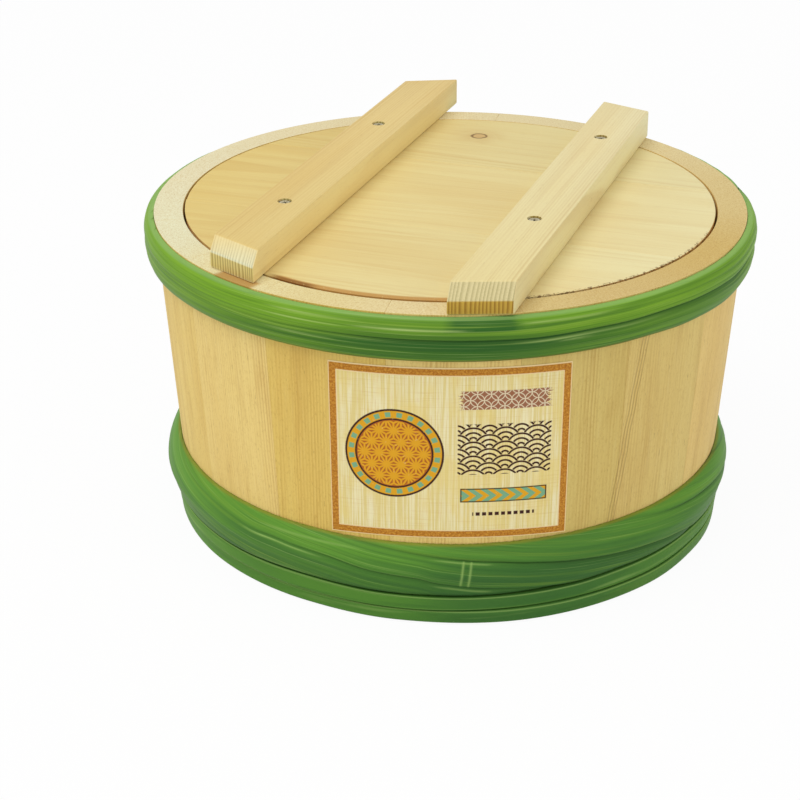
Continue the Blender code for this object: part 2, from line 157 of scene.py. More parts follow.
woodLooks = {
    "staveWood": {
        "early": rgb(241, 215, 137), "late": rgb(204, 160, 82), "lateShare": 0.34, "ringWidth": 0.0012,
        "fibre": rgb(196, 152, 78), "fibreShare": 0.26, "fleck": rgb(146, 100, 44), "fleckShare": 0.55,
        "cloud": rgb(232, 200, 120), "speckle": 0.3, "end": rgb(238, 222, 178),
        "endLate": rgb(206, 172, 116), "endRings": 0.12, "endDots": 0.6, "endFace": (0, 0, 1),
    },
    "lidWood": {
        "early": rgb(240, 221, 154), "late": rgb(220, 186, 116), "lateShare": 0.2, "ringWidth": 0.0026,
        "fibre": rgb(210, 170, 100), "fibreShare": 0.16, "fleck": rgb(165, 118, 58), "fleckShare": 0.2,
        "cloud": rgb(232, 205, 134), "speckle": 0.06, "end": rgb(222, 180, 112),
        "endLate": rgb(184, 132, 68), "endRings": 0.5, "endDots": 0.4, "endFace": (-0.951, 0.309, 0),
    },
    "battenWood": {
        "early": rgb(243, 226, 162), "late": rgb(216, 184, 118), "lateShare": 0.22, "ringWidth": 0.0012,
        "fibre": rgb(206, 168, 102), "fibreShare": 0.2, "fleck": rgb(170, 125, 65), "fleckShare": 0.3,
        "cloud": rgb(236, 210, 138), "speckle": 0.12, "end": rgb(242, 234, 186),
        "endLate": rgb(176, 168, 118), "endRings": 0.6, "endDots": 0.2, "endFace": (0.309, 0.951, 0),
    },
    "bottomWood": {
        "early": rgb(236, 210, 140), "late": rgb(206, 162, 90), "lateShare": 0.4, "ringWidth": 0.0022,
        "fibre": rgb(195, 145, 75), "fibreShare": 0.25, "fleck": rgb(150, 100, 45), "fleckShare": 0.3,
        "cloud": rgb(226, 192, 118), "speckle": 0.1, "end": rgb(222, 180, 110),
        "endLate": rgb(180, 130, 70), "endRings": 0.6, "endDots": 0.4, "endFace": (-0.342, 0.94, 0),
    },
}


def makeWood(name, knot=None, shadedEnd=None, edgeShade=None, lines=()):
    look = woodLooks[name]
    wood = Finish(name, {"Specular IOR Level": 0.35, "IOR": 1.45})
    spot, place = wood.attribute("woodPlace"), wood.place()
    across, depth = wood.split(spot)[:2]
    x, y, z = wood.split(place)
    wander = wood.noise(spot, (22, 22, 7), 3.0) - 0.5
    radius = (across * across + depth * depth).root() + wander * 0.0035
    fromPith = wood.join(radius, 0.0, 0.0)
    phase = radius / look["ringWidth"] + wood.noise(fromPith, (140, 0, 0), 1.0) * 2.5
    if knot:  # the rings bend round it
        size, away, aside = knot["radius"], x - knot["x"], y - knot["y"]
        off = (away * away + aside * aside).root()
        near = wood.step(off, knot["reach"], 0.0)
        phase = phase + near * near * knot["push"]
        edge = off + (wood.noise(place, (420, 420, 420)) - 0.5) * 0.0012
        ring = wood.step(edge, size - 0.0009, size - 0.0002) * wood.step(edge, size + 0.0007, size)
    band = phase.fraction()
    late = wood.step(band, 0.2, 0.85) * wood.step(band, 1.0, 0.9)
    crowd = wood.noise(fromPith, (75, 0, 0), 2.0, 0.6)  # some rings are darker than others
    fibre = wood.noise(spot, (1100, 1100, 9), 3.0, 0.6)
    streak = wood.noise(spot, (260, 260, 4), 3.0, 0.65)
    pore = wood.step(wood.noise(spot, (2600, 2600, 120), 2.0, 0.6), 0.68, 0.75)
    cloud = wood.noise(spot, (34, 34, 9), 2.0)
    speck = wood.noise(spot, (1700, 1700, 700), 3.0, 0.7)
    colour = wood.layered(
        look["early"],
        (late * look["lateShare"] * (0.25 + wood.step(crowd, 0.42, 0.66) * 1.6), look["late"]),
        (wood.step(cloud, 0.42, 0.68) * 0.55, look["cloud"]),
        (wood.step(streak, 0.48, 0.72) * look["fibreShare"], look["fibre"]),
        (wood.step(fibre, 0.5, 0.78) * look["fibreShare"], look["fibre"]),
        (wood.step(fibre, 0.46, 0.25) * 0.14, rgb(252, 236, 180)),
        (wood.step(speck, 0.5, 0.7) * look["speckle"], look["fibre"]),
        (pore * look["fleckShare"], look["fleck"]),
    )
    if knot:
        core = wood.step(edge, size, size - 0.001)
        around, inside, rim = rgb(206, 160, 92), rgb(214, 170, 105), rgb(120, 78, 36)
        colour = wood.layered(colour, (near * 0.3, around), (core * 0.55, inside), (ring * 0.8, rim))
    for line in lines:  # a cluster of dark lines up one stave
        bearing = x.bearing(0 - y) - math.radians(line["azimuth"]) - (z - line["low"]) * line["lean"]
        off = bearing * tub["rimRadius"] + (wood.noise(place, (60, 60, 60)) - 0.5) * 0.0016
        inside = wood.step(abs(off), line["width"], line["width"] * 0.7)
        inside = inside * wood.step((off / line["spacing"] + 0.5).fraction(), 0.35, 0.8)
        colour = wood.mix(inside * line["strength"], colour, look["fleck"])
    colour = wood.mix(1.0, colour, wood.attribute("boardTone", "Color"), "MULTIPLY")

    # End grain: the same rings, closer pores, and no long fibres
    dots = wood.noise(spot, (2100, 2100, 300), 3.0, 0.75)
    endColour = wood.layered(
        look["end"],
        (late * look["endRings"] * (0.4 + crowd), look["endLate"]),
        (wood.step(dots, 0.5, 0.66) * look["endDots"], look["endLate"]),
        (wood.step(dots, 0.48, 0.34) * look["endDots"] * 0.8, rgb(255, 247, 220)),
    )
    squareness = abs(wood.facing(look["endFace"]))
    if shadedEnd:  # painted shade on an upright end face, together with the end grain's own darker colour, so it is darker than the bevel above it
        upright = wood.step(abs(wood.facing((0, 0, 1))), 0.3, 0.1) * wood.step(squareness, 0.5, 0.7)
        endColour = wood.mix(upright, endColour, wood.mix(late * 0.8, shadedEnd["early"], shadedEnd["late"]))
    endColour = wood.mix(1.0, endColour, wood.attribute("endTone", "Color"), "MULTIPLY")
    colour = wood.mix(wood.step(squareness, 0.55, 0.8), colour, endColour)
    if edgeShade:  # painted shade along a round edge: a batten's shadow on the rim and the shade of the gap round the lid
        ahead = edgeShade["y"] - y
        reach = (x * x + ahead * ahead).root()
        bearing = x.bearing(ahead)
        ragged = wood.noise(place, (800, 800, 800), 2.0, 0.7)
        upper = wood.step(z, tub["height"] - 0.002, tub["height"] - 0.001)
        for degrees, width, patchiness, strength, shadeColour in edgeShade["marks"]:
            start, end, fade = (math.radians(angle) for angle in degrees)
            rim = wood.step(reach, edgeShade["radius"] - width, edgeShade["radius"] - width * 0.6)
            rim = upper * rim * wood.step(bearing, start, start + fade) * wood.step(bearing, end, end - fade)
            rim = rim * wood.step(ragged, patchiness - 0.06, patchiness + 0.06)
            colour = wood.mix(rim * strength, colour, shadeColour)

    wood.feed("Base Color", colour)
    wood.feed("Roughness", 0.52 + fibre * 0.22 + late * 0.05)
    wood.feed("Normal", wood.bump(late * 0.2 + fibre * 0.4 + pore * -0.5, 0.0002, 0.4))
    return wood.material


def layGrain(piece, origin, axes, board, tone, endTone=lambda place: (1, 1, 1)):
    # axes are the directions across, through and along a board. Its pith lies beside the origin, it
    # leans by its tilt from the tree's length, and start is its place along the tree. tone is the
    # colour of its long sides, endTone that of its ends.
    mesh = piece.data
    kinds = {"woodPlace": "FLOAT_VECTOR", "boardTone": "FLOAT_COLOR", "endTone": "FLOAT_COLOR"}
    for name, kind in kinds.items():
        mesh.attributes.new(name, kind, "POINT")
    spots, tones, ends = (mesh.attributes[name].data for name in kinds)
    pith, tilt = board["pith"], board["tilt"]
    for number, vertex in enumerate(mesh.vertices):
        a, d, l = ((vertex.co - origin).dot(axis) for axis in axes)
        spots[number].vector = (a - pith[0] + tilt[0] * l, d - pith[1] + tilt[1] * l, l + board["start"])
        tones[number].color = (*tone(d, l), 1)
        ends[number].color = (*endTone(vertex.co), 1)


def mirrored(board, side):
    return {**board, "pith": (side * board["pith"][0], board["pith"][1]), "start": side * board["start"]}


# Building


def show(name, data):
    made = bpy.data.objects.new(name, data)
    bpy.context.scene.collection.objects.link(made)
    return made


def roundEdges(shape, width, segments, angle=math.radians(40)):  # those that stand out
    bmesh.ops.recalc_face_normals(shape, faces=shape.faces[:])
    edges = [edge for edge in shape.edges if len(edge.link_faces) == 2 and edge.calc_face_angle_signed(0) > angle]
    rounding = {"offset": width, "offset_type": "OFFSET", "segments": segments, "profile": 0.5}
    bmesh.ops.bevel(shape, geom=edges, affect="EDGES", material=-1, clamp_overlap=True, **rounding)


def makePiece(name, shape, material, smoothAngle=20):
    bmesh.ops.recalc_face_normals(shape, faces=shape.faces[:])
    mesh = bpy.data.meshes.new(name)
    shape.to_mesh(mesh)
    shape.free()
    mesh.shade_smooth()
    mesh.set_sharp_from_angle(angle=math.radians(smoothAngle))
    mesh.materials.append(material)
    return show(name, mesh)


def fit(piece, body, slot, *nodes):
    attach(piece, body)
    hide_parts(*nodes)


def carve(piece, shapes):  # cuts closed shapes out of a piece
    cutters = []
    for shape in shapes:
        bmesh.ops.recalc_face_normals(shape, faces=shape.faces[:])
        mesh = bpy.data.meshes.new("cutter")
        shape.to_mesh(mesh)
        shape.free()
        cutters.append(show("cutter", mesh))
        piece.modifiers.new("cut", "BOOLEAN").object = cutters[-1]
    bpy.context.view_layer.update()
    evaluated = piece.evaluated_get(bpy.context.evaluated_depsgraph_get())
    mesh = bpy.data.meshes.new_from_object(evaluated)
    piece.modifiers.clear()
    piece.data = mesh
    for cutter in cutters:
        bpy.data.objects.remove(cutter)
    mesh.set_sharp_from_angle(angle=math.radians(20))


def trim(shape, point, normal):  # cuts away what lies on the normal's side, and closes the cut
    everything = shape.verts[:] + shape.edges[:] + shape.faces[:]
    bmesh.ops.bisect_plane(shape, geom=everything, plane_co=point, plane_no=normal, clear_outer=True)
    bmesh.ops.contextual_create(shape, geom=[edge for edge in shape.edges if edge.is_boundary])


def turned(profile, steps):  # a solid of revolution about Z
    shape = bmesh.new()
    points = [shape.verts.new((r, 0, z)) for r, z in profile]
    edges = [shape.edges.new(pair) for pair in zip(points, points[1:])]
    sweep = {"cent": (0, 0, 0), "axis": (0, 0, 1), "angle": math.tau, "steps": steps, "use_merge": True}
    bmesh.ops.spin(shape, geom=points + edges, **sweep)
    bmesh.ops.remove_doubles(shape, verts=shape.verts[:], dist=0.000005)
    return shape


def placed(shape, matrix):
    bmesh.ops.transform(shape, matrix=matrix, verts=shape.verts[:])
    return shape


def atAzimuth(azimuth, radius, z):
    return Vector((radius * math.sin(azimuth), -radius * math.cos(azimuth), z))


def along(table, azimuth):  # a value that changes round the tub, from a table of degrees and values
    degrees = (math.degrees(azimuth) + 180) % 360 - 180
    points = list(table.items())
    before = (points[-1][0] - 360, points[-1][1])
    for after in (*points, (points[0][0] + 360, points[0][1])):
        if degrees <= after[0]:
            share = (degrees - before[0]) / (after[0] - before[0])
            return before[1] + (after[1] - before[1]) * (share * share * (3 - 2 * share))
        before = after


# Staves

tub = {
    "height": 0.1136, "rimRadius": 0.105, "footRadius": 0.0976, "wall": 0.0102, "count": 16,
    "wander": math.radians(1.2), "seam": 0.00003, "steps": 14, "arris": 0.0001, "grooveLow": 0.0097,
    "grooveHigh": 0.0153, "grooveDepth": 0.002, "seed": 11,
    # the pith across and behind the board, the lean of its grain, and its tone
    "usual": {
        "aside": (0.17, 0.25), "behind": (-0.04, 0.04), "tilt": (-0.012, 0.012), "bright": (0.93, 1.0),
        "tone": (1.0, 0.98, 0.94),
    },
    "boards": {
        13: {"pith": (0.23, 0.05), "tilt": (0.004, 0.0), "tone": (1.0, 0.97, 0.85)},
        14: {"pith": (-0.21, 0.04), "tilt": (0.012, 0.0), "tone": (1.02, 1.0, 0.95)},
        15: {"pith": (0.17, 0.03), "tilt": (-0.03, 0.0), "tone": (0.93, 0.86, 0.59)},
        16: {"pith": (0.24, -0.03), "tilt": (0.0, 0.0), "tone": (0.98, 0.95, 0.88)},
        1: {"pith": (-0.22, -0.04), "tilt": (0.0, 0.0), "tone": (0.81, 0.8, 0.68)},
        2: {"pith": (-0.19, 0.02), "tilt": (0.02, 0.0), "tone": (0.88, 0.88, 0.83)},
        3: {"pith": (0.2, 0.05), "tilt": (-0.008, 0.0), "tone": (0.95, 0.91, 0.88)},
        4: {"pith": (0.18, 0.03), "tilt": (0.0, 0.0), "tone": (0.95, 0.92, 0.88)},
    },
    # the rim's tone round the tub
    "rim": {
        -150: Vector((1.0, 1.02, 1.0)),
        -110: Vector((1.0, 1.06, 1.1)),
        -70: Vector((1.0, 1.12, 1.2)),
        -45: Vector((1.0, 1.07, 1.0)),
        -25: Vector((0.95, 0.93, 0.72)),
        -5: Vector((0.97, 0.93, 0.79)),
        15: Vector((0.84, 0.76, 0.52)),
        30: Vector((0.82, 0.71, 0.45)),
        60: Vector((0.8, 0.66, 0.34)),
        90: Vector((0.88, 0.8, 0.56)),
        150: Vector((0.98, 0.98, 0.9)),
    },
}


def outerRadius(z):
    return tub["footRadius"] + (tub["rimRadius"] - tub["footRadius"]) * z / tub["height"]


def innerRadius(z):
    return outerRadius(z) - tub["wall"]


def seamAzimuth(number):
    turns, index = divmod(number, tub["count"])
    even = (index + 0.5) * math.tau / tub["count"]
    return turns * math.tau + even + tub["wander"] * math.cos(math.tau * 4 * index / tub["count"])


def buildStaves(material):
    low, high, depth, top = tub["grooveLow"], tub["grooveHigh"], tub["grooveDepth"], tub["height"]
    profile = [
        (innerRadius(0), 0),
        (outerRadius(0), 0),
        (outerRadius(top), top),
        (innerRadius(top), top),
        (innerRadius(high), high),
        (innerRadius(high) + depth, high),
        (innerRadius(low) + depth, low),
        (innerRadius(low), low),
    ]
    lean = (tub["rimRadius"] - tub["footRadius"]) / top
    draw, usual = random.Random(tub["seed"]), tub["usual"]
    for number in range(tub["count"]):
        gap = tub["seam"] / innerRadius(0)
        start = seamAzimuth(number) + gap / 2
        width = seamAzimuth(number + 1) - seamAzimuth(number) - gap
        shape = bmesh.new()
        face = shape.faces.new([shape.verts.new(atAzimuth(start, r, z)) for r, z in profile])
        geom = [face, *face.edges, *face.verts]
        bmesh.ops.spin(shape, geom=geom, cent=(0, 0, 0), axis=(0, 0, 1), angle=width, steps=tub["steps"])
        roundEdges(shape, tub["arris"], 2)
        stave = makePiece(f"stave{number + 1:02d}", shape, material)
        middle = start + width / 2
        outward = atAzimuth(middle, 1, 0)
        sideways = Vector((math.cos(middle), math.sin(middle), 0))
        upward = (upwards + outward * lean).normalized()
        side = draw.choice((-1, 1))
        aside, behind, tilt, bright = (usual[key] for key in ("aside", "behind", "tilt", "bright"))
        other = {
            "pith": (side * draw.uniform(*aside), draw.uniform(*behind)),
            "tilt": (draw.uniform(*tilt), 0.0),
            "tone": tuple(draw.uniform(*bright) * level for level in usual["tone"]),
        }
        own = tub["boards"].get(number + 1, other)
        layGrain(
            stave,
            outward * outerRadius(0),
            (sideways, outward, upward),
            {**own, "start": draw.uniform(0, 3)},
            lambda depth, length: own["tone"],
            lambda place: along(tub["rim"], math.atan2(place.x, -place.y)),
        )
        fit(stave, "tub", "stave_wood", f"stave_{number + 1:02d}")


# Bottom

bottom = {
    "low": 0.008, "thickness": 0.009, "tongue": 0.005, "play": 0.0005, "turn": math.radians(20),
    "steps": 128, "seam": 0.0001, "arris": 0.0004, "pins": 0.045, "pinRadius": 0.0018, "pinLength": 0.0206,
    "pinSteps": 20, "tone": (0.98, 0.96, 0.93),
    "grain": {"pith": (0.035, -0.03), "tilt": (0.0, 0.02), "start": 0.4},
}


def pinHole(place):  # room for a bamboo pin along X
    shape = bmesh.new()
    radius, length = bottom["pinRadius"], bottom["pinLength"]
    rod = {"segments": bottom["pinSteps"], "radius1": radius, "radius2": radius, "depth": length}
    bmesh.ops.create_cone(shape, cap_ends=True, **rod)
    return placed(shape, Matrix.Translation(place) @ Matrix.Rotation(math.radians(90), 4, "Y"))


def buildBottom(material):
    low = bottom["low"]
    high = low + bottom["thickness"]
    middle = (low + high) / 2
    tongueLow = middle - bottom["tongue"] / 2
    tongueHigh = middle + bottom["tongue"] / 2
    tongueRadius = innerRadius(tongueLow) + tub["grooveDepth"] - bottom["play"]
    profile = [
        (0, high),
        (innerRadius(tongueHigh) - bottom["play"], high),
        (innerRadius(tongueHigh) - bottom["play"], tongueHigh),
        (tongueRadius, tongueHigh),
        (tongueRadius, tongueLow),
        (innerRadius(low) - bottom["play"], tongueLow),
        (innerRadius(low) - bottom["play"], low),
        (0, low),
    ]
    axis = Matrix.Rotation(bottom["turn"], 4, "Z")
    for hand, side in (("left", -1), ("right", 1)):
        shape = turned(profile, bottom["steps"])
        trim(shape, (side * bottom["seam"] / 2, 0, 0), (-side, 0, 0))
        roundEdges(shape, bottom["arris"], 2)
        placed(shape, axis)
        board = makePiece(f"{hand}BottomBoard", shape, material)
        carve(board, [placed(pinHole(Vector((0, way * bottom["pins"], middle))), axis) for way in (-1, 1)])
        grain = mirrored(bottom["grain"], side)
        axes = (axis.col[0].xyz, upwards, axis.col[1].xyz)
        layGrain(board, upwards * high, axes, grain, lambda depth, length: bottom["tone"])
        fit(board, "tub", "bottom_wood", f"bottom_board_{hand}")


# Hoops. Each band's strands are laid round one another, so the lines between them climb round the tub
# and vanish behind it. A line is open where one strand lies over the next, and closed elsewhere.

upperHoop = {
    "height": 0.0170,
    "depth": {-90: 0.0042, 0: 0.0041, 90: 0.0042},
    "crest": 0.5,  # where it stands out furthest, as a share of its height from its top edge
    "topRound": 2.6, "lowRound": 2.4,
    "draw": {0: 0.0},
    "tall": {-120: 1.0, -75: 0.98, -50: 0.92, 0: 0.915, 35: 0.91, 48: 0.96, 62: 1.0},
    "hollow": 0.0012, "low": 0.0961, "turns": 1, "sway": 0.92, "calm": math.radians(-25), "start": 0.335,
    # how far each line is moved down the band's skin, as a share of the way round it
    "shift": (
        {
            -100: -0.06, -50: -0.038, -8: -0.052, 12: -0.049, 28: -0.082, 45: -0.115, 60: -0.13, 75: -0.19,
            120: -0.12, 180: -0.08,
        },
        {0: 0.0},
        {-60: 0.0, 0: -0.03, 50: -0.08, 90: -0.16, 130: -0.08},
    ),
    "highlightLines": (  # painted highlights: how far down, how wide, and how strong round the tub
        (0.22, 0.02, {-18: 0.0, -13: 0.4, -8: 0.75, 0: 0.5, 4: 0.0}),
        (0.12, 0.016, {-34: 0.0, -27: 0.5, -18: 0.2, -14: 0.0, 11: 0.0, 14: 0.45, 24: 0.35, 29: 0.0}),
        (0.26, 0.014, {-34: 0.0, -28: 0.4, -20: 0.2, -17: 0.0}),
        (0.57, 0.016, {-36: 0.0, -28: 0.4, -22: 0.2, -19: 0.0, 17: 0.0, 21: 0.4, 26: 0.0}),
    ),
    "shade": {-0.6: 0.0, 0.8: 0.7, 9.5: 0.7, 12: 0.0},
    "shadow": {-20: 0.0, -8: 0.5, 15: 0.5, 30: 0.2, 42: 0.35, 60: 0.3, 72: 0.0},  # under the first line
    "open": (
        {-90: 0.6, -60: 0.35, -35: 0.15, -12: 0.7, 10: 1.0, 58: 1.0, 72: 2.2, 95: 2.0, 150: 0.6},
        {-90: 0.4, 0: 0.5, 120: 0.6},
        {-120: 0.6, -60: 0.35, -20: 0.7, 60: 1.0, 120: 0.6},
    ),
    "gleam": {-60: 0.0, 8: 0.0, 18: 0.55, 27: 0.3, 45: 0.0},
    # how brightly each part is painted lit, round the tub
    "bright": {
        -95: 0.85, -55: 0.8, -30: 0.66, -12: 0.34, 5: 0.24, 25: 0.5, 38: 0.68, 48: 0.66, 58: 0.62,
        80: 0.95,
    },
    "ridges": (5, 0.00012), "nodes": ((95, 200), (150,), (-140,)),
}
lowerHoop = {
    "low": 0.0101, "height": 0.0194,
    "depth": {-90: 0.0061, 0: 0.0056, 55: 0.0056, 90: 0.0052, 180: 0.0056},
    "crest": 0.55, "topRound": 1.5, "lowRound": 7.0,
    "tall": {-75: 1.0, -50: 0.95, -28: 0.91, -12: 0.95, 8: 0.96, 24: 0.95, 35: 0.915, 50: 0.92, 80: 1.0},
    "draw": {-90: 0.45, -40: 0.2, 0: 0.1, 45: 0.15, 90: 0.45, 180: 0.3},
    "hollow": 0.0020, "turns": 2, "sway": 0.3, "calm": 0.0, "start": 0.148,
    "shift": (
        {
            -60: -0.03, -7: -0.055, 9: -0.054, 15: -0.039, 23: -0.026, 40: 0.0, 50: 0.02, 58: 0.055,
            75: 0.05, 120: 0.0,
        },
        {
            -75: -0.02, -41: -0.048, -33: -0.077, -23: -0.09, -14: -0.064, -6: -0.066, -1.5: -0.031,
            6: -0.015, 40: 0.0,
        },
        {0: 0.0},
        {-60: 0.0, 0: -0.02, 40: -0.043, 63: -0.042, 120: 0.0},
    ),
    "highlightLines": (
        (0.16, 0.02, {-40: 0.0, -33: 0.3, -22: 0.3, -14: 0.0}),
        (0.93, 0.02, {-50: 0.0, -35: 0.3, -22: 0.0}),
    ),
    "shade": {0: 0.0},
    "shadow": {8: 0.0, 14: 0.15, 24: 0.4, 36: 0.5, 50: 0.2, 60: 0.0},
    "open": (
        {-125: 0.6, -60: 0.0, -30: 0.0, -12: 0.6, 5: 1.0, 70: 1.0, 90: 0.6, 180: 0.6},
        {-150: 0.6, -90: 0.1, -60: 0.1, -42: 0.15, -36: 0.4, -22: 0.6, 12: 0.8, 25: 0.6, 120: 0.6},
        {-130: 0.4, -110: 0.12, -35: 0.12, 0: 0.5, 80: 0.6, 160: 0.6},
        {-60: 0.5, 15: 0.0, 37: 0.0, 52: 0.9, 110: 0.8, 160: 0.6},
    ),
    "gleam": {-44: 0.0, -41: 2.2, -31: 1.2, -22: 0.0, -4: 0.0, 0: 0.5, 6: 0.5, 9: 0.0},
    # how brightly each part is painted lit, round the tub
    "bright": {-90: 0.7, -60: 0.7, -40: 0.55, -25: 0.7, -10: 0.6, 5: 0.3, 25: 0.25, 50: 0.5, 75: 0.7, 120: 0.6},
    "ridges": (3, 0.00008), "nodes": ((3.2, 120), (-150, 40), (95, 210), (160,)),
}
plainStrands = {
    "foot": {
        "low": 0.0005, "high": 0.0055, "rises": 0,
        "depth": {
            -90: 0.0030, -72: 0.0031, -50: 0.0034, -28: 0.0036, -10: 0.0047, 15: 0.0060, 42: 0.0055,
            60: 0.0044, 82: 0.0030, 180: 0.0042,
        },
        "ridges": (2, 0.00016), "seed": 0.45, "nodes": (-125, 110),
    },
    "middle": {
        "low": 0.0056, "high": 0.0100,
        "rises": 1,  # with the band's lower edge
        "depth": {
            -90: 0.0030, -60: 0.0040, -30: 0.0044, 0: 0.0053, 40: 0.0050, 60: 0.0042, 84: 0.0030,
            180: 0.0042,
        },
        "ridges": (2, 0.0003), "seed": 5.04, "nodes": (-170, 75),
    },
}
strands = {
    "gap": 0.0001,  # from the staves
    "play": 0.00005, "crown": 0.0003,
    "overlap": 0.0005,  # how far a strand's upper edge lies under the one above
    "overlapReach": 0.0028, "lip": 0.00048, "lipReach": 0.0009,
    "wide": 3,  # radius of the ring that each strand is shaped from
    "steps": 260,  # round the tub
    "skinSteps": 32, "coreSteps": 4, "inset": 0.75, "plainRound": 8.0, "nodeLean": 0.012,
    "nodeHeight": 0.0002, "nodeWidth": 0.0004, "nodeSpread": 0.0013,
    "nodeSteps": 12,  # close steps round the tub on either side of a joint
    "nodeStep": 0.0024, "nodeClear": 0.004,
    "darkTop": 0.0006,  # how far the painted shade reaches down and up from a strand's edges
    "darkLow": 0.0003, "shadowReach": 0.0034, "gleamPlace": 0.0012, "gleamWidth": 0.0003,
    "shadeReach": 0.25,  # down the band, as a share of its height
    "seed": 2.1,
    # plain strands: their back's height, how much painted light they have, and each line's strength, place and
    # width; the top and low lines are painted shade along their edges, the pale line a painted highlight
    "back": 0.4, "ends": 0.01, "level": 0.6, "brighter": 0.12,
    "topLine": (0.75, 0, 0.07), "lowLine": (0.4, 1, 0.1), "paleLine": (0.42, 0.3, 0.07),
}
varying = ("depth", "draw", "tall", "shade", "shadow", "gleam", "bright")  # what changes round the tub


def bandPoint(hoop, section, share):  # on the band's skin: down its outer side, then up along the staves
    level = 2 * (share % 1)
    rise = hoop["height"] * (0.5 - section["tall"] * (2 - level if level > 1 else level))
    if level > 1:
        return Vector((0, rise))
    crest = hoop["crest"]
    if level < crest:
        near = 1 - level / crest
        out = max(1 - near ** hoop["topRound"], 0) ** (1 / hoop["topRound"])
    else:
        near = (level - crest) / (1 - crest)
        out = max(1 - near ** hoop["lowRound"], 0) ** (1 / hoop["lowRound"]) * (1 - section["draw"] * near)
    return Vector((section["depth"] * out, rise))


def corePoint(hoop, section, share):  # on the hollow inside the band
    turn = math.tau * (share % 1)
    depth, tall = section["depth"], section["tall"] * hoop["height"]
    reach = tall / 2 - strands["inset"] * depth
    middle = (hoop["height"] - tall) / 2
    return Vector((depth / 2 + hoop["hollow"] / 2 * math.sin(turn), middle + reach * math.cos(turn)))


def ridging(ridges, portion, azimuth, seed):  # low ribs that run along a strand and drift slowly over it
    count, height = ridges
    drift = 0.35 * math.sin(azimuth + seed) + 0.2 * math.sin(3 * azimuth + 2 * seed)
    return height * (0.5 - 0.5 * math.cos(math.tau * (count * portion + drift)))


def nodeRise(azimuth, radius, nodes):  # the double collar of a bamboo joint, 0 to 1
    rise = 0.0
    for node in nodes:
        away = (azimuth - math.radians(node) + math.pi) % math.tau - math.pi
        for way in (-1, 1):
            off = (away * radius - way * strands["nodeSpread"]) / strands["nodeWidth"]
            rise = max(rise, math.exp(-off * off))
    return rise


def strandAzimuths(nodes):  # even steps from the back, closer near each joint
    even = [-math.pi + math.tau * step / strands["steps"] for step in range(strands["steps"])]
    extra, near = [], strands["nodeSteps"]
    for node in nodes:
        centre = (math.radians(node) + math.pi) % math.tau - math.pi
        extra += [centre + step * strands["nodeStep"] for step in range(-near, near + 1)]
    kept = [azimuth for azimuth in even if all(abs(azimuth - more) > strands["nodeClear"] for more in extra)]
    return sorted(kept + extra)


def buildStrand(name, outline, middle, joints, material, node):
    # outline gives the section at an azimuth. Each of its points has its place out and up, how far it
    # is across the strand and down the hoop, how much painted light it has there, and how much painted
    # shade, painted highlight and joint's collar it has, where the collar also gets a painted highlight.
    azimuths = strandAzimuths(joints)
    count = len(outline(0.0))
    shape = bmesh.new()
    bmesh.ops.create_circle(shape, segments=count, radius=1)
    for vertex in shape.verts:
        x, y = vertex.co.xy
        vertex.co = (strands["wide"] + x, 0, y)
    sweep = {"cent": (0, 0, 0), "axis": (0, 0, 1), "angle": math.tau, "steps": len(azimuths), "use_merge": True}
    bmesh.ops.spin(shape, geom=shape.verts[:] + shape.edges[:], **sweep)
    bmesh.ops.remove_doubles(shape, verts=shape.verts[:], dist=0.0001)
    placeLayer = shape.verts.layers.float_vector.new("strandPlace")
    shadingLayer = shape.verts.layers.float_vector.new("strandShading")
    outlines = [outline(azimuth) for azimuth in azimuths]
    for vertex in shape.verts:
        x, y, z = vertex.co
        ring = round(math.atan2(y, x) / math.tau * len(azimuths)) % len(azimuths)
        point = round(math.atan2(z, math.hypot(x, y) - strands["wide"]) / math.tau * count) % count
        (out, rise), across, level, bright, marks = outlines[ring][point]
        z = middle + rise
        vertex.co = atAzimuth(azimuths[ring], outerRadius(z) + strands["gap"] + out, z)
        vertex[placeLayer] = (across, level, bright)
        vertex[shadingLayer] = marks
    fit(makePiece(name, shape, material, 60), "tub", "hoop_plastic", node)


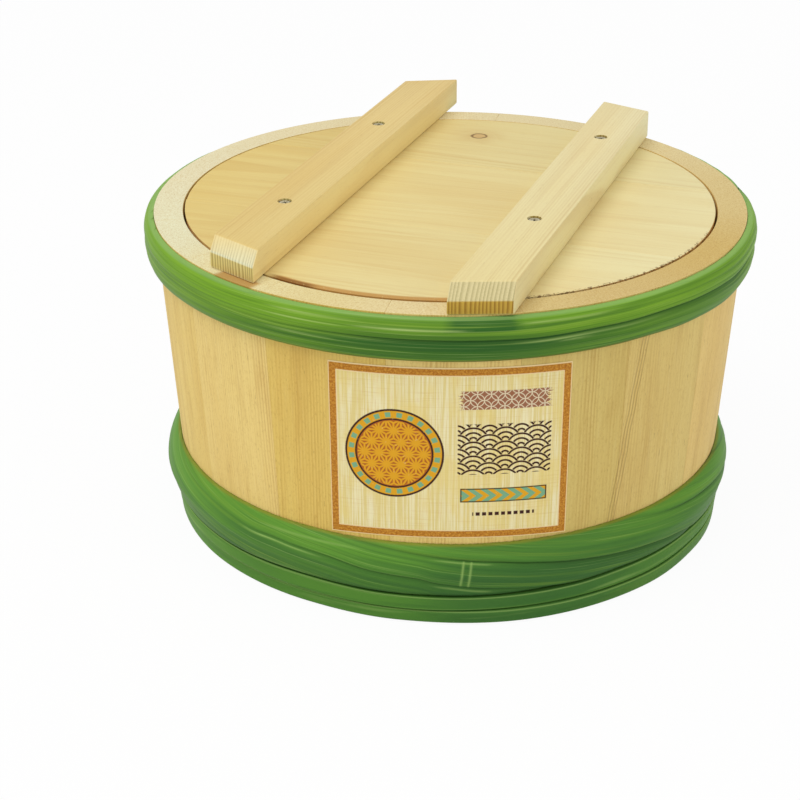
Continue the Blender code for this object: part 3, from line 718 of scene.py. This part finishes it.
def buildBand(name, nodeName, hoop, middle, material):
    count = len(hoop["open"])
    gap = strands["play"] / 4 / hoop["height"]
    for number, nodes in enumerate(hoop["nodes"]):

        def outline(azimuth, number=number, nodes=nodes):
            sway = hoop["sway"] * math.sin(azimuth - hoop["calm"])
            travel = hoop["start"] + (hoop["turns"] * azimuth - sway) / math.tau + number / count
            after = (number + 1) % count
            start = travel + along(hoop["shift"][number], azimuth) + gap
            end = travel + 1 / count + along(hoop["shift"][after], azimuth) - gap
            section = {key: along(hoop[key], azimuth) for key in varying}
            above, below = (along(hoop["open"][line], azimuth) for line in (number, after))
            highlightLines = [(level, width, along(table, azimuth)) for level, width, table in hoop["highlightLines"]]
            steps = strands["skinSteps"]
            shares = [start + (end - start) * step / steps for step in range(steps + 1)]
            for corner in (math.ceil(start * 2) / 2, math.ceil(start * 2) / 2 + 0.5):
                if start < corner < end:  # a point lies on each edge of the band
                    nearest = round((corner - start) / (end - start) * steps)
                    shares[min(max(nearest, 1), steps - 1)] = corner
            points = []
            for step, share in enumerate(shares):
                portion = step / steps
                outer = bandPoint(hoop, section, share)
                inner = corePoint(hoop, section, share)
                fromTop = (share - start) * 2 * hoop["height"]
                fromLow = (end - share) * 2 * hoop["height"]
                rise = min(fromTop / strands["overlapReach"], 1)
                fall = min(max(1 - fromLow / strands["lipReach"], 0), 1)
                sink = above * strands["overlap"] * (1 - rise) ** 2
                sink += below * strands["lip"] * (1 - math.sqrt(1 - fall * fall))
                edge = abs(2 * portion - 1)
                sink += strands["crown"] * edge**3 * (above * (1 - portion) + below * portion)
                sink += ridging(hoop["ridges"], portion, azimuth, strands["seed"] * number) * (1 - edge**6)
                shown = (share % 1) < 0.5
                collar = nodeRise(azimuth + strands["nodeLean"] * (portion - 0.5), tub["rimRadius"], nodes)
                mark = collar * (1 - edge**6) if shown else 0.0
                sink -= strands["nodeHeight"] * mark
                point = outer + (inner - outer).normalized() * sink
                # painted shade in the open lines and painted shadow under the first line; painted highlights below
                # the lines and along the band
                dark = above * math.exp(-fromTop / strands["darkTop"])
                dark += below * math.exp(-fromLow / strands["darkLow"])
                if number == 0:
                    dark += section["shadow"] * math.exp(-((fromTop / strands["shadowReach"]) ** 2))
                off = (fromTop - strands["gleamPlace"]) / strands["gleamWidth"]
                pale = above * section["gleam"] * math.exp(-(off**2))
                level = 2 * (share % 1) if shown else 0.0
                for centre, width, strength in highlightLines:
                    pale = max(pale, strength * math.exp(-(((level - centre) / width) ** 2)))
                light = section["bright"] - section["shade"] * (level < strands["shadeReach"])
                place = (max(point.x, 0.0), point.y)
                points.append((place, portion, level, light, (min(dark, 1.0), pale, mark)))
            for step in range(strands["coreSteps"]):
                portion = 1 - (step + 0.5) / strands["coreSteps"]
                point = corePoint(hoop, section, start + (end - start) * portion)
                points.append(((point.x, point.y), portion, 0.5, section["bright"], (0.0, 0.0, 0.0)))
            return points

        buildStrand(f"{name}{number + 1}", outline, middle, nodes, material, f"{nodeName}_{number + 1}")


def buildPlainStrand(name, nodeName, look, material):
    half = (look["high"] - look["low"]) / 2

    def outline(azimuth):
        depth = along(look["depth"], azimuth)
        lift = look["rises"] * (1 - along(lowerHoop["tall"], azimuth)) * lowerHoop["height"] / 2
        # painted light, a little more than on the band
        bright = along(lowerHoop["bright"], azimuth) + strands["brighter"]
        collar = nodeRise(azimuth, tub["footRadius"], look["nodes"])
        points = []
        for step in range(strands["skinSteps"] + 1):
            portion = step / strands["skinSteps"]
            turn = math.pi * (strands["ends"] + (1 - 2 * strands["ends"]) * portion)
            flat = 2 / strands["plainRound"]
            out = depth * math.sin(turn) ** flat
            rise = lift + (half + lift) * math.copysign(abs(math.cos(turn)) ** flat, math.cos(turn))
            sink = ridging(look["ridges"], portion, azimuth, look["seed"]) - strands["nodeHeight"] * collar
            place = (max(out - sink * math.sin(math.pi * portion) ** 2, 0.0), rise)
            # painted shade along both edges and a painted highlight along the strand
            lines = (strands["topLine"], strands["lowLine"])
            dark = sum(share * math.exp(-abs(portion - middle) / width) for share, middle, width in lines)
            share, middle, width = strands["paleLine"]
            pale = share * math.exp(-(((portion - middle) / width) ** 2))
            points.append((place, portion, strands["level"], bright, (dark, pale, collar)))
        for portion, way in ((1.0, -1), (0.0, 1)):
            place = (0.0, way * half * strands["back"])
            points.append((place, portion, strands["level"], bright, (0.0, 0.0, 0.0)))
        return points

    buildStrand(name, outline, look["low"] + half, look["nodes"], material, nodeName)


def makePlastic(name):
    look = hoopLooks[name]
    green = Finish(name, {"Specular IOR Level": 0.1, "IOR": 1.5})
    x, y, z = green.split(green.place())
    across, level, bright = green.split(green.attribute("strandPlace"))
    dark, pale, mark = green.split(green.attribute("strandShading"))
    weave = green.join(x * 8, y * 8, across * look["lines"] + z * 60)
    broad = green.noise(green.join(x, y, across * 0.16 + z * 0.9), (7, 7, 22), 2.0)
    line = green.noise(weave, (1, 1, 1), 4.0, 0.62)
    fine = green.noise(green.join(x * 14, y * 14, across * look["lines"] * 4 + z * 150), (1, 1, 1), 2.0, 0.6)

    # painted light and shade: the mix from deep to light green follows the painted brightness round the tub, with
    # more light near the band's top and painted shade low on it
    lit = bright * 0.75 + (broad - 0.5) * 0.9 + green.step(level, 0.55, 0.1) * look["topLift"]
    colour = green.layered(
        look["deep"],
        (green.step(lit, 0.0, 1.0), look["light"]),
        (green.step(level, 0.45, 0.9) * look["lowShade"], look["dark"]),
        (green.step(line, 0.5, 0.7) * look["lineShare"], look["yellow"]),
        (green.step(line, 0.5, 0.32) * look["lineShare"], look["dark"]),
        (green.step(fine, 0.58, 0.74) * 0.3, look["pale"]),
        (green.step(fine, 0.44, 0.3) * 0.3, look["dark"]),
        # a painted highlight along the top edge, painted shade at the foot (brownish on the upper band, as light
        # thrown up from the wood), painted shade in the lines, and painted highlights along the strands and on the
        # joints' collars
        (green.step(level, 0.05, 0.01) * 0.6, look["rim"]),
        (green.step(level, 0.88, 0.97) * 0.62, look["foot"]),
        (dark * 0.8, look["groove"]),
        (pale, look["pale"]),
        (mark * 0.5, look["pale"]),
    )
    green.feed("Base Color", colour)
    green.feed("Roughness", look["roughness"] + line * 0.14 + fine * 0.06)
    green.feed("Normal", green.bump(line * 0.7 + fine * 0.35, 0.00025, 0.4))
    return green.material


hoopLooks = {
    "upperHoopGreen": {
        "light": rgb(124, 170, 44), "deep": rgb(56, 104, 40), "yellow": rgb(148, 182, 66),
        "dark": rgb(44, 92, 32), "pale": rgb(190, 214, 130), "groove": rgb(34, 80, 34),
        "rim": rgb(150, 190, 110), "foot": rgb(128, 112, 40), "topLift": 0.3, "lowShade": 0.14, "lines": 8,
        "lineShare": 0.5, "roughness": 0.38,
    },
    "lowerHoopGreen": {
        "light": rgb(102, 156, 54), "deep": rgb(60, 106, 48), "yellow": rgb(128, 164, 58),
        "dark": rgb(48, 90, 40), "pale": rgb(168, 202, 112), "groove": rgb(46, 84, 34),
        "rim": rgb(146, 138, 46), "foot": rgb(46, 84, 34), "topLift": 0.3, "lowShade": 0.3, "lines": 5,
        "lineShare": 0.32, "roughness": 0.4,
    },
}


# Label: paper with a printed border, a hemp-leaf roundel and rows of waves, rings and arrow feathers

label = {
    "width": 0.0796, "low": 0.0318, "high": 0.0950, "lowBow": 0.0017, "highBow": 0.0008, "gap": 0.00012,
    "thickness": 0.0002, "columns": 64, "rows": 12,
    "edge": 0.35,  # these are in millimetres on the print
    "border": 2.7, "line": 3.05, "roundel": 16.5, "roundelX": -18.0, "teeth": 24,
    "ink": {
        "brown": rgb(62, 28, 20), "redBrown": rgb(150, 86, 62), "rust": rgb(182, 97, 32),
        "ochre": rgb(230, 168, 32), "sage": rgb(126, 178, 138), "cream": rgb(248, 236, 200),
        "peach": rgb(243, 216, 160),
    },
}
halfWidth, halfHeight = label["width"] * 500, (label["high"] - label["low"]) * 500  # of the print, in millimetres


def buildLabel(material):
    shape = bmesh.new()
    bmesh.ops.create_grid(shape, x_segments=label["columns"], y_segments=label["rows"], size=1)
    place = shape.verts.layers.float_vector.new("printPlace")
    for vertex in shape.verts:
        across, up, z = vertex.co
        high = label["high"] - label["highBow"] * across**2
        low = label["low"] - label["lowBow"] * across**2
        z = low + (high - low) * (up + 1) / 2
        radius = outerRadius(z) + label["gap"]
        vertex[place] = (across * halfWidth, up * halfHeight, 0)
        vertex.co = atAzimuth(across * label["width"] / 2 / radius, radius, z)
    shape.faces.ensure_lookup_table()
    if shape.faces[0].normal.y > 0:
        bmesh.ops.reverse_faces(shape, faces=shape.faces[:])
    bmesh.ops.solidify(shape, geom=shape.faces[:], thickness=-label["thickness"])
    fit(makePiece("paperLabel", shape, material, 40), "tub", "label_paper", "label")


def hempLeaf(ink, x, y, height, width):  # lines of the hemp-leaf pattern, on triangles of that height
    parts = [(row / height).fraction() for row in (y, x * 0.866 - y * 0.5, x * -0.866 - y * 0.5)]
    down = (parts[0] + parts[1] + parts[2]) > 1.5
    a, b, c = [part + down * (1 - part * 2) for part in parts]
    least, most = a.least(b).least(c), a.most(b).most(c)
    share = width / height
    return ink.step(least, share * 0.75, share * 0.4).most(ink.step(1 - most - least * 2, share * 1.4, share * 0.7))


def waveRows(ink, x, y, radius, lines):  # overlapping half rounds: how dark the print is
    row = ink.maths("CEIL", y / (radius / 2) - 2)
    found = None
    for step in (3, 2, 1, 0):
        number = row + step
        across = (x + radius + number.wrapped(2.0) * radius).wrapped(2 * radius) - radius
        rise = y - number * (radius / 2)
        reach = (across * across + rise * rise).root()
        found = reach if found is None else found + (reach < radius) * (reach - found)
    phase = (found / (radius / lines) + 0.02).fraction()
    return ink.step(phase, 0.52, 0.62) * ink.step(phase, 0.99, 0.92)


def linkedRings(ink, x, y, radius, width):
    rings = []
    for shift in (0, radius):
        a, b = ((value + shift).wrapped(2 * radius) - radius for value in (x, y))
        rings.append(ink.step(abs((a * a + b * b).root() - radius), width, width * 0.5))
    return rings[0].most(rings[1])


def makeLabelPaper():
    paper = Finish("printedPaper", {"Specular IOR Level": 0.25})
    spot = paper.attribute("printPlace")
    x, y = paper.split(spot)[:2]
    inset = (halfWidth - abs(x)).least(halfHeight - abs(y))
    ragged = (paper.noise(spot, (2.2, 2.2, 1), 3.0, 0.7) - 0.5) * 0.35
    ink = label["ink"]

    # Paper: upright streaks, a faint level weave and cloudy yellow patches
    streak = paper.noise(spot, (1.5, 0.03, 1), 3.0, 0.6)
    weft = paper.noise(spot, (0.05, 2.4, 1), 2.0, 0.6)
    patch = paper.noise(spot, (0.09, 0.05, 1), 2.0)
    thread = paper.noise(spot, (3.6, 0.12, 1), 2.0, 0.6)
    soft = paper.noise(spot, (0.8, 0.8, 1), 3.0, 0.6)
    art = paper.layered(
        rgb(233, 213, 141),
        (paper.step(streak, 0.4, 0.62), rgb(247, 236, 190)),
        (paper.step(patch, 0.45, 0.62) * 0.6, rgb(238, 214, 130)),
        (paper.step(weft, 0.54, 0.68) * 0.25, rgb(214, 178, 100)),
        (paper.step(thread, 0.6, 0.7) * 0.4, rgb(226, 178, 130)),
    )

    # Roundel on the left
    size = label["roundel"]
    dx = x - label["roundelX"]
    off = (dx * dx + y * y).root() + ragged * 0.8
    tooth = paper.step(abs((y.bearing(dx) / math.tau * label["teeth"]).fraction() - 0.5), 0.27, 0.22)
    leaf = hempLeaf(paper, dx, y, 4.2, 0.55)
    inside = {deep: paper.step(off, size - deep, size - deep - 0.3) for deep in (0, 0.7, 1.2, 3.4, 4.0, 4.3)}
    art = paper.layered(
        art,
        (inside[0], ink["brown"]),
        (inside[0.7], ink["ochre"]),
        (inside[1.2] * paper.step(off, size - 3.3, size - 3.0) * tooth, ink["sage"]),
        (inside[3.4], ink["brown"]),
        (inside[4.0], ink["rust"]),
        (leaf * inside[4.3], ink["ochre"]),
    )

    # Rows on the right
    def inBox(left, right, low, high, wave=0.0):
        sides = paper.step(x + wave, left, left + 0.3) * paper.step(x + wave, right, right - 0.3)
        return sides * paper.step(y, low, low + 0.3) * paper.step(y, high, high - 0.3)

    brush = (paper.noise(spot, (0.02, 1.6, 1), 3.0, 0.7) - 0.5) * 9
    stroke = inBox(3.5, 32.5, 16.5, 23.5, brush)
    waves = waveRows(paper, x - 18.0, y, 5.2, 3.0)
    strip = inBox(3.5, 32.5, -18.0, -12.5)
    feather = ((x + abs((y / 5.6 + 0.25).fraction() - 0.5) * 7) / 4.4).fraction()
    dash = paper.step(abs((x / 2.1).fraction() - 0.5), 0.34, 0.3)
    art = paper.layered(
        art,
        (stroke * 0.92, ink["redBrown"]),
        (stroke * linkedRings(paper, x, y - 20.0, 2.2, 0.2) * 0.75, ink["cream"]),
        (inBox(2.5, 33.5, -7.5, 11.5) * waves, ink["brown"]),
        (strip, ink["sage"]),
        (strip * paper.step(feather, 0.5, 0.56), ink["ochre"]),
        (strip - inBox(3.9, 32.1, -17.6, -12.9), ink["brown"]),
        (inBox(7.5, 28.5, -23.2, -21.6) * dash, ink["brown"]),
        (paper.step(soft, 0.62, 0.72) * 0.18, ink["cream"]),
    )

    mottle = paper.noise(spot, (1.3, 1.3, 1), 4.0, 0.75)
    border = paper.mix(paper.step(mottle, 0.38, 0.66), rgb(176, 108, 26), rgb(216, 156, 58))
    line, band, edge = label["line"], label["border"], label["edge"]
    art = paper.layered(
        art,
        (paper.step(inset + ragged * 0.5, line, line - 0.12), ink["peach"]),
        (paper.step(inset + ragged * 0.6, band, band - 0.15), border),
        (paper.step(inset, edge, edge - 0.1), ink["peach"]),
    )
    paper.feed("Base Color", art)
    paper.feed("Roughness", 0.62 + soft * 0.2)
    paper.feed("Normal", paper.bump(streak * 0.4 + weft * 0.3 + thread * 0.3, 0.00006, 0.5))
    return paper.material


# Lid

lid = {
    "thickness": 0.009, "turn": math.radians(72), "back": 0.0005, "play": 0.0007, "steps": 192,
    "seams": (-0.030, 0.038), "seam": 0.00008, "arris": 0.0004, "pins": 0.020,
    "screwReach": 0.003,  # a screw's hole is cut in the boards up to that far away
    "toneReach": 0.09,
    "tones": ((0.94, 0.87, 0.67), (1.03, 1.12, 1.38)),  # at the left and at the right
    "boards": {
        "front": {"pith": (-0.055, -0.035), "tilt": (0.0, 0.03), "start": -2.75, "tone": 0.99},
        "middle": {"pith": (0.012, -0.05), "tilt": (0.02, -0.02), "start": 0.6, "tone": 1.0},
        "back": {"pith": (0.09, -0.06), "tilt": (-0.01, 0.03), "start": 4.5, "tone": 0.965},
    },
}
battens = {
    "thickness": 0.010,
    "rest": 0.0003,  # height of the solids' undersides over the rim
    "lift": 0.00006,  # and of these
    "offset": 0.0424, "pairOffset": 0.0011, "arris": 0.0006,
    "topDepth": 0.0004,  # how far down the tone of the top reaches
    "toneLength": 0.2, "grain": {"pith": (0.16, -0.012), "tilt": (0.006, 0.0), "start": 0.7},
    "left": {
        "side": 1, "width": 0.0194, "overhang": 0.0038, "shift": 0.0074, "turn": math.radians(-0.65),
        "skew": math.radians(25), "noseHeight": 0.0053, "noseRun": 0.0042, "screws": -0.001,
        "topTones": ((0.885, 0.81, 0.67), (0.97, 0.88, 0.78)),  # at the front end and at the back end
        "sideTones": ((1.02, 0.98, 0.94), (1.02, 1.0, 0.98)),
        "endTones": ((0.93, 0.97, 1.07), (0.97, 0.97, 0.97)),  # on the bevel and below it, where a darker tone is painted shade as well as end grain
    },
    "right": {
        "side": -1, "width": 0.0197, "overhang": 0.0006, "shift": -0.0004, "turn": 0.0,
        "skew": math.radians(20), "noseHeight": 0.0044, "noseRun": 0.003, "screws": 0.0096,
        "topTones": ((0.94, 0.94, 0.96), (1.04, 1.1, 1.36)),
        "sideTones": ((0.95, 0.96, 1.02), (1.06, 1.16, 1.45)),
        "endTones": ((0.85, 0.79, 0.68), (0.74, 0.56, 0.21)),
    },
}
screws = {
    "headRadius": 0.0022, "headHeight": 0.0022, "headEdge": 0.0003, "arris": 0.0002, "radius": 0.0011,
    "length": 0.0150, "tip": 0.0030, "sink": 0.0005, "spacing": 0.092, "gap": 0.0003,
    "clear": 0.004,  # how far its hole is cut above the head
    "slot": 0.00062, "slotLength": 0.0027, "slotDepth": 0.0011, "slotRise": 0.0005,
    "slotTaper": (0.55, 0.8),  # its floor's length and width, as shares of its top's
    "steps": 40, "holeSteps": 32,
}
lidAxis = Matrix.Translation((0, lid["back"], tub["height"])) @ Matrix.Rotation(lid["turn"], 4, "Z")


def battenAxis(hand):  # the middle of a batten's underside, with X along the batten
    across = battens[hand]["side"] * battens["offset"] + battens["pairOffset"]
    return lidAxis @ Matrix.Translation((0, across, 0)) @ Matrix.Rotation(battens[hand]["turn"], 4, "Z")


def screwPlaces(hand):  # the middles of its screws' heads
    height = battens["rest"] + battens["thickness"] - screws["sink"]
    middle = battens[hand]["screws"]
    return [
        battenAxis(hand) @ Matrix.Translation((middle + way * screws["spacing"] / 2, 0, height)) for way in (-1, 1)
    ]


def screwHole(place):
    head, shank = screws["headRadius"] + screws["gap"], screws["radius"] + screws["gap"]
    profile = [
        (0, screws["clear"]),
        (head, screws["clear"]),
        (head, -screws["headEdge"]),
        (shank, -screws["headHeight"]),
        (shank, screws["tip"] - screws["length"]),
        (0, -screws["length"] - screws["gap"]),
    ]
    return placed(turned(profile, screws["holeSteps"]), place)


def buildLid(material):
    top = innerRadius(tub["height"]) - lid["play"]
    low = innerRadius(tub["height"] - lid["thickness"]) - lid["play"]
    edges = (None, *lid["seams"], None)
    left, right = lid["tones"]
    for (name, look), start, end in zip(lid["boards"].items(), edges, edges[1:]):
        shape = bmesh.new()
        disc = {"segments": lid["steps"], "radius1": low, "radius2": top, "depth": lid["thickness"]}
        bmesh.ops.create_cone(shape, cap_ends=True, **disc)
        bmesh.ops.translate(shape, verts=shape.verts[:], vec=(0, 0, -lid["thickness"] / 2))
        for seam, way in ((start, -1), (end, 1)):
            if seam is not None:
                trim(shape, (seam - way * lid["seam"] / 2, 0, 0), (way, 0, 0))
        roundEdges(shape, lid["arris"], 2)
        board = makePiece(f"lidBoard{name.title()}", placed(shape, lidAxis), material)
        holes = []
        for seam in (start, end):
            if seam is not None:
                for way in (-1, 1):
                    place = Vector((seam, way * lid["pins"], -lid["thickness"] / 2))
                    holes.append(placed(pinHole(place), lidAxis))
        for place in screwPlaces("left") + screwPlaces("right"):
            ahead = (lidAxis.inverted() @ place.translation).x
            reach = lid["screwReach"]
            if (start is None or ahead > start - reach) and (end is None or ahead < end + reach):
                holes.append(screwHole(place))
        carve(board, holes)

        def tone(depth, length):
            share = min(max(0.5 - length / (2 * lid["toneReach"]), 0), 1)
            return [look["tone"] * (p + (q - p) * share) for p, q in zip(left, right)]

        axes = (lidAxis.col[0].xyz, upwards, lidAxis.col[1].xyz)
        layGrain(board, lidAxis.translation, axes, look, tone)
        fit(board, "lid", "lid_wood", f"lid_board_{name}")


def buildBatten(hand, material):
    own = battens[hand]
    side, shift, skew = own["side"], own["shift"], own["skew"]
    across = side * battens["offset"] + battens["pairOffset"]
    inner, outer = -side * own["width"] / 2, side * own["width"] / 2
    half = math.sqrt(tub["rimRadius"] ** 2 - across**2) + own["overhang"]
    slant = own["width"] / 2 * math.tan(skew)
    plan = [
        (shift - half - slant, inner),
        (shift + half + slant, inner),
        (shift + half - slant, outer),
        (shift - half + slant, outer),
    ]
    shape = bmesh.new()
    base = shape.faces.new([shape.verts.new((x, y, battens["lift"])) for x, y in plan])
    raised = bmesh.ops.extrude_face_region(shape, geom=[base], use_keep_orig=True)
    lifted = [item for item in raised["geom"] if isinstance(item, bmesh.types.BMVert)]
    top = battens["rest"] + battens["thickness"]
    bmesh.ops.translate(shape, verts=lifted, vec=(0, 0, top - battens["lift"]))
    outward = Vector((-math.cos(skew), side * math.sin(skew), 0))
    corner = Vector((shift - half - slant, inner, battens["rest"] + own["noseHeight"]))
    trim(shape, corner, outward * (battens["thickness"] - own["noseHeight"]) + Vector((0, 0, own["noseRun"])))
    roundEdges(shape, battens["arris"], 3, math.radians(15))
    axis = battenAxis(hand)
    placed(shape, axis)
    batten = makePiece(f"{hand}Batten", shape, material)
    carve(batten, [screwHole(place) for place in screwPlaces(hand)])

    def tone(depth, length):
        share = min(max(0.5 + length / battens["toneLength"], 0), 1)
        tones = own["sideTones" if depth < -battens["topDepth"] else "topTones"]
        return [p + (q - p) * share for p, q in zip(*tones)]

    def endTone(place):
        return own["endTones"][place.z < tub["height"] + corner.z - battens["arris"] / 3]

    axes = (axis.col[1].xyz, upwards, axis.col[0].xyz)
    layGrain(batten, axis @ Vector((0, 0, top)), axes, mirrored(battens["grain"], side), tone, endTone)
    fit(batten, "lid", "batten_wood", f"{hand}_batten")


def buildScrew(name, place, turn, material, node):
    profile = [
        (0, 0),
        (screws["headRadius"] - screws["arris"], 0),
        (screws["headRadius"], -screws["arris"] / 2),
        (screws["headRadius"], -screws["headEdge"]),
        (screws["radius"], -screws["headHeight"]),
        (screws["radius"], screws["tip"] - screws["length"]),
        (0, -screws["length"]),
    ]
    matrix = place @ Matrix.Rotation(turn, 4, "Z")
    screw = makePiece(name, placed(turned(profile, screws["steps"]), matrix), material, 30)
    slots = []
    for quarter in (0, 1):
        shape = bmesh.new()
        bmesh.ops.create_cube(shape, size=1)
        for vertex in shape.verts:
            high = vertex.co.z > 0
            shorter, narrower = (1, 1) if high else screws["slotTaper"]
            vertex.co.x *= screws["slotLength"] * shorter
            vertex.co.y *= screws["slot"] * narrower
            vertex.co.z = screws["slotRise"] if high else -screws["slotDepth"]
        slots.append(placed(shape, matrix @ Matrix.Rotation(quarter * math.pi / 2, 4, "Z")))
    carve(screw, slots)
    headPlace = screw.data.attributes.new("headPlace", "FLOAT_VECTOR", "POINT")
    for number, vertex in enumerate(screw.data.vertices):
        spot = place.inverted() @ vertex.co
        headPlace.data[number].vector = (spot.xy.length / screws["headRadius"], -spot.z * 1000, 0)
    fit(screw, "lid", "screw_steel", node)


def makeSteel():
    steel = Finish("zincSteel", {"Specular IOR Level": 0.5})
    spot = steel.place()
    blotch = steel.noise(spot, (900, 900, 900), 3.0, 0.6)
    scratch = steel.noise(spot, (5200, 1800, 1800), 2.0)
    reach, depth = steel.split(steel.attribute("headPlace"))[:2]  # depth in millimetres
    edge = steel.step(reach, 0.72, 0.92)
    colour = steel.layered(
        rgb(196, 186, 152),
        (steel.step(blotch, 0.4, 0.65), rgb(228, 219, 188)),
        (steel.step(blotch, 0.4, 0.3) * 0.6, rgb(112, 94, 62)),
        # painted shade in the gap round the head and in the cross recess below its top
        (edge * 0.9, rgb(74, 56, 32)),
        (steel.step(depth, 0.05, 0.5) * 0.9, rgb(48, 38, 26)),
    )
    steel.feed("Base Color", colour)
    steel.feed("Metallic", 0.55 - edge * 0.3)
    steel.feed("Roughness", 0.42 + scratch * 0.25)
    steel.feed("Normal", steel.bump(scratch, 0.00004, 0.4))
    return steel.material


def makeBamboo():
    bamboo = Finish("pinBamboo", {"Specular IOR Level": 0.4})
    spot = bamboo.place()
    fibre = bamboo.noise(spot, (900, 900, 900), 3.0, 0.6)
    pale, dark = rgb(232, 204, 142), rgb(128, 86, 40)
    layers = ((bamboo.step(fibre, 0.4, 0.66), pale), (bamboo.step(fibre, 0.7, 0.8) * 0.5, dark))
    bamboo.feed("Base Color", bamboo.layered(rgb(206, 170, 104), *layers))
    bamboo.feed("Roughness", 0.45 + fibre * 0.25)
    bamboo.feed("Normal", bamboo.bump(fibre, 0.0001, 0.5))
    return bamboo.material


# Everything

# Painted shade on an edge: from, to and fade in degrees, how wide, ragged and strong, and the colour
# painted shadow of the left batten's front end on the rim
rimBattenShadow = ((-47.5, -36.5, 1.5), 0.0058, 0.25, 0.8, rgb(186, 134, 48))
# painted shade of the gap round the lid: an orange-brown band at the front left, darker within it, and a broken
# dark line at the front right
lidGapShade = (
    ((-39, 6, 4), 0.0032, 0.3, 0.85, rgb(196, 140, 60)),
    ((-40, -26, 4), 0.0024, 0.3, 0.8, rgb(136, 86, 28)),
    ((12, 72, 4), 0.0011, 0.55, 0.8, rgb(120, 84, 44)),
)
staveLines = {
    "azimuth": 33, "low": 0.03,
    "lean": 1.1,  # radians per metre
    "width": 0.0024, "spacing": 0.0013, "strength": 0.4,
}
rimShade = {"y": 0, "radius": tub["rimRadius"], "marks": (rimBattenShadow,)}
staveWood = makeWood("staveWood", edgeShade=rimShade, lines=(staveLines,))
buildStaves(staveWood)
print("staves:", tub["count"])
buildBottom(makeWood("bottomWood"))
print("bottom: 2 boards")

for place, hoop in (("upper", upperHoop), ("lower", lowerHoop)):
    green = makePlastic(f"{place}HoopGreen")
    buildBand(f"{place}Strand", f"{place}_hoop_strand", hoop, hoop["low"] + hoop["height"] / 2, green)
for place, look in plainStrands.items():
    buildPlainStrand(f"{place}Strand", f"lower_hoop_{place}_strand", look, green)
print("hoops: 9 strands")

buildLabel(makeLabelPaper())
print("label")

knotPlace = lidAxis @ Vector((0.0729, 0.0113, 0))
knot = {"x": knotPlace.x, "y": knotPlace.y, "radius": 0.0029, "reach": 0.014, "push": 1.6}
lidShade = {"y": lid["back"], "radius": innerRadius(tub["height"]) - lid["play"], "marks": lidGapShade}
lidWood = makeWood("lidWood", knot=knot, edgeShade=lidShade)
battenWood = makeWood("battenWood", shadedEnd={"early": rgb(229, 211, 134), "late": rgb(166, 135, 63)})
buildLid(lidWood)
steel = makeSteel()
for hand in ("left", "right"):
    buildBatten(hand, battenWood)
    for end, place, turn in zip(("front", "back"), screwPlaces(hand), (0.5, 1.1)):
        name = f"{hand}{end.title()}Screw"
        buildScrew(name, place, turn + battens[hand]["side"] * 0.3, steel, f"{hand}_batten_{end}_screw")
print("lid: 3 boards, 2 battens, 4 screws")

bamboo = makeBamboo()
for name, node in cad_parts.items():
    if "dowel" in name:
        node.data.materials.clear()
        node.data.materials.append(bamboo)


# Floor, light and camera

studio = {
    "floorSize": 6.0, "floorColour": rgb(247, 247, 246), "skyStrength": 0.62, "target": (0, 0, 0.06),
    "lamps": {
        "key": {"place": (-0.55, -0.45, 1.25), "size": 0.9, "power": 7.0},
        "fill": {"place": (1.1, -0.7, 0.6), "size": 0.8, "power": 2.2},
    },
}
view = {  # where the photograph was taken from, and its camera's directions
    "lens": 87.65, "place": (-0.003623, -0.658108, 0.349724),
    "right": (0.99979202, 0.02006471, -0.00365126), "up": (-0.0053821, 0.43227227, 0.90172707),
    "back": (0.01967123, -0.90151988, 0.43229036),
}


def makeFloor():
    shape = bmesh.new()
    bmesh.ops.create_grid(shape, x_segments=2, y_segments=2, size=studio["floorSize"])
    floor = Finish("studioFloor", {"Roughness": 0.85, "Specular IOR Level": 0.1})
    floor.surface.inputs["Base Color"].default_value = studio["floorColour"]
    ground = makePiece("floor", shape, floor.material)
    if ground.data.polygons[0].normal.z < 0:
        ground.data.flip_normals()
    # The camera and reflections see it near white, with the shadow kept
    rays = [floor.node("ShaderNodeLightPath", output=name) for name in ("Is Camera Ray", "Is Glossy Ray")]
    white = floor.node("ShaderNodeEmission", {"Color": (1, 1, 1, 1), "Strength": 1.0})
    shader = Value(floor, floor.surface.outputs[0])
    blend = floor.node("ShaderNodeMixShader", {0: rays[0].most(rays[1]) * 0.95, 1: shader, 2: white})
    floor.tree.links.new(blend.socket, floor.tree.nodes["Material Output"].inputs["Surface"])


def addLamp(name, place, size, power):
    lamp = bpy.data.lights.new(name, "AREA")
    lamp.shape = "DISK"
    lamp.size = size
    lamp.energy = power
    made = show(name, lamp)
    made.location = place
    made.rotation_euler = (Vector(studio["target"]) - Vector(place)).to_track_quat("-Z", "Y").to_euler()


def makeWorld():
    world = bpy.data.worlds.new("studio")
    bpy.context.scene.world = world
    world.use_nodes = True
    tree = world.node_tree
    plain = tree.nodes["Background"]
    white, rays, blend = (tree.nodes.new(f"ShaderNode{kind}") for kind in ("Background", "LightPath", "MixShader"))
    tree.links.new(rays.outputs["Is Camera Ray"], blend.inputs[0])
    for number, (sky, strength) in enumerate(((plain, studio["skyStrength"]), (white, 1))):
        sky.inputs["Color"].default_value = (1, 1, 1, 1)
        sky.inputs["Strength"].default_value = strength
        tree.links.new(sky.outputs[0], blend.inputs[number + 1])
    tree.links.new(blend.outputs[0], tree.nodes["World Output"].inputs["Surface"])


def addCamera():
    lens = bpy.data.cameras.new("camera")
    lens.lens = view["lens"]
    lens.sensor_width = 36
    lens.clip_start = 0.01
    camera = show("camera", lens)
    turn = Matrix([view[side] for side in ("right", "up", "back")]).transposed().to_4x4()
    camera.matrix_world = Matrix.Translation(view["place"]) @ turn
    bpy.context.scene.camera = camera


makeFloor()
makeWorld()
for name, lamp in studio["lamps"].items():
    addLamp(name, **lamp)
addCamera()
bpy.context.scene.view_settings.view_transform = "Standard"
print("studio")
